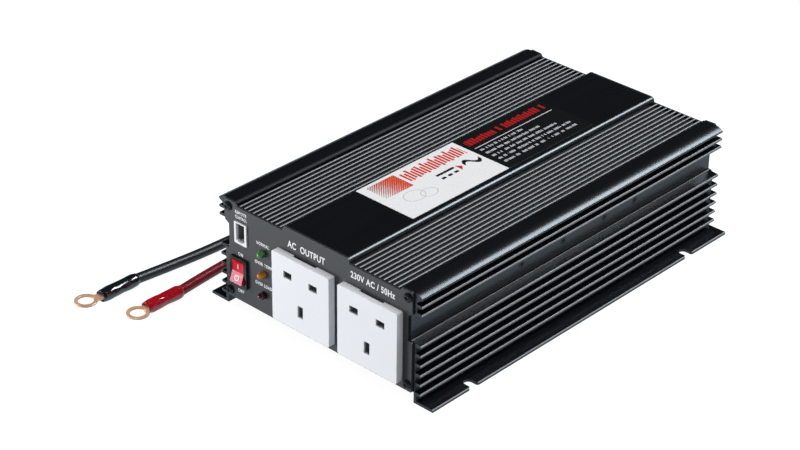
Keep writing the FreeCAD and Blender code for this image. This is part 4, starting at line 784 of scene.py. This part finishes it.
# ---------------------------------------------------------------- stage
def set_stage():
    bm = bmesh.new()
    half = 6.0
    corners = ((-half, -half), (half, -half), (half, half), (-half, half))
    verts = [bm.verts.new((x, y, -0.0002)) for x, y in corners]
    bm.faces.new(verts)
    floor_mat = Mat("studio_floor", (0.5, 0.5, 0.5), 0.7)
    n = floor_mat.noise((1, 1, 1), 3.0, 2.0)
    floor_mat.color_from(floor_mat.ramp(n, [(0.3, (0.19, 0.19, 0.19)), (0.7, (0.21, 0.21, 0.21))]))
    path = floor_mat.node("ShaderNodeLightPath")
    seen = floor_mat.mix(path.outputs["Is Glossy Ray"], (1.0, 1.0, 1.0), (0.40, 0.52, 0.60))
    floor_mat.link(seen, floor_mat.bsdf.inputs["Emission Color"])
    floor_mat.set("Emission Strength", 0.95)
    floor = mesh_object("studio_floor", bm, floor_mat.m, smooth=False)
    floor.visible_diffuse = False
    floor.visible_shadow = False

    world = bpy.data.worlds.new("studio_world")
    world.use_nodes = True
    bg = world.node_tree.nodes["Background"]
    bg.inputs[0].default_value = (1.0, 1.0, 1.0, 1.0)
    bg.inputs[1].default_value = 0.36
    world.cycles_visibility.glossy = False
    bpy.context.scene.world = world

    def area(name, spot, target, size, power, color=(1, 1, 1), size_y=None):
        data = bpy.data.lights.new(name, "AREA")
        data.energy = power
        data.color = color
        data.size = size
        if size_y:
            data.shape = "RECTANGLE"
            data.size_y = size_y
        obj = bpy.data.objects.new(name, data)
        bpy.context.scene.collection.objects.link(obj)
        obj.location = spot
        aim = Vector(target) - Vector(spot)
        obj.rotation_euler = aim.to_track_quat("-Z", "Y").to_euler()
        return obj

    # low key from the left front, mirror-only strip behind, diffuse-only lamp overhead, weak right fill
    area("key_softbox", (-1.35, -1.45, -0.15), (0, -0.1, 0.03), 0.9, 34.0)
    strip = area("back_strip", (0.66, 1.26, 1.4), (0.0, 0.0, 0.06), 0.95, 50.0, (0.90, 0.96, 1.0), 0.8)
    strip.visible_diffuse = False
    top = area("top_soft", (0, 0, 2.5), (0, 0, 0), 1.5, 37.0)
    top.visible_glossy = False
    area("right_fill", (2.0, 0.9, 0.35), (0.05, 0, 0.04), 0.5, 3.0, (0.93, 0.97, 1.0), 0.9)


set_stage()
view = bpy.context.scene.view_settings
view.view_transform = "Standard"
view.look = "None"

bpy.context.view_layer.update()
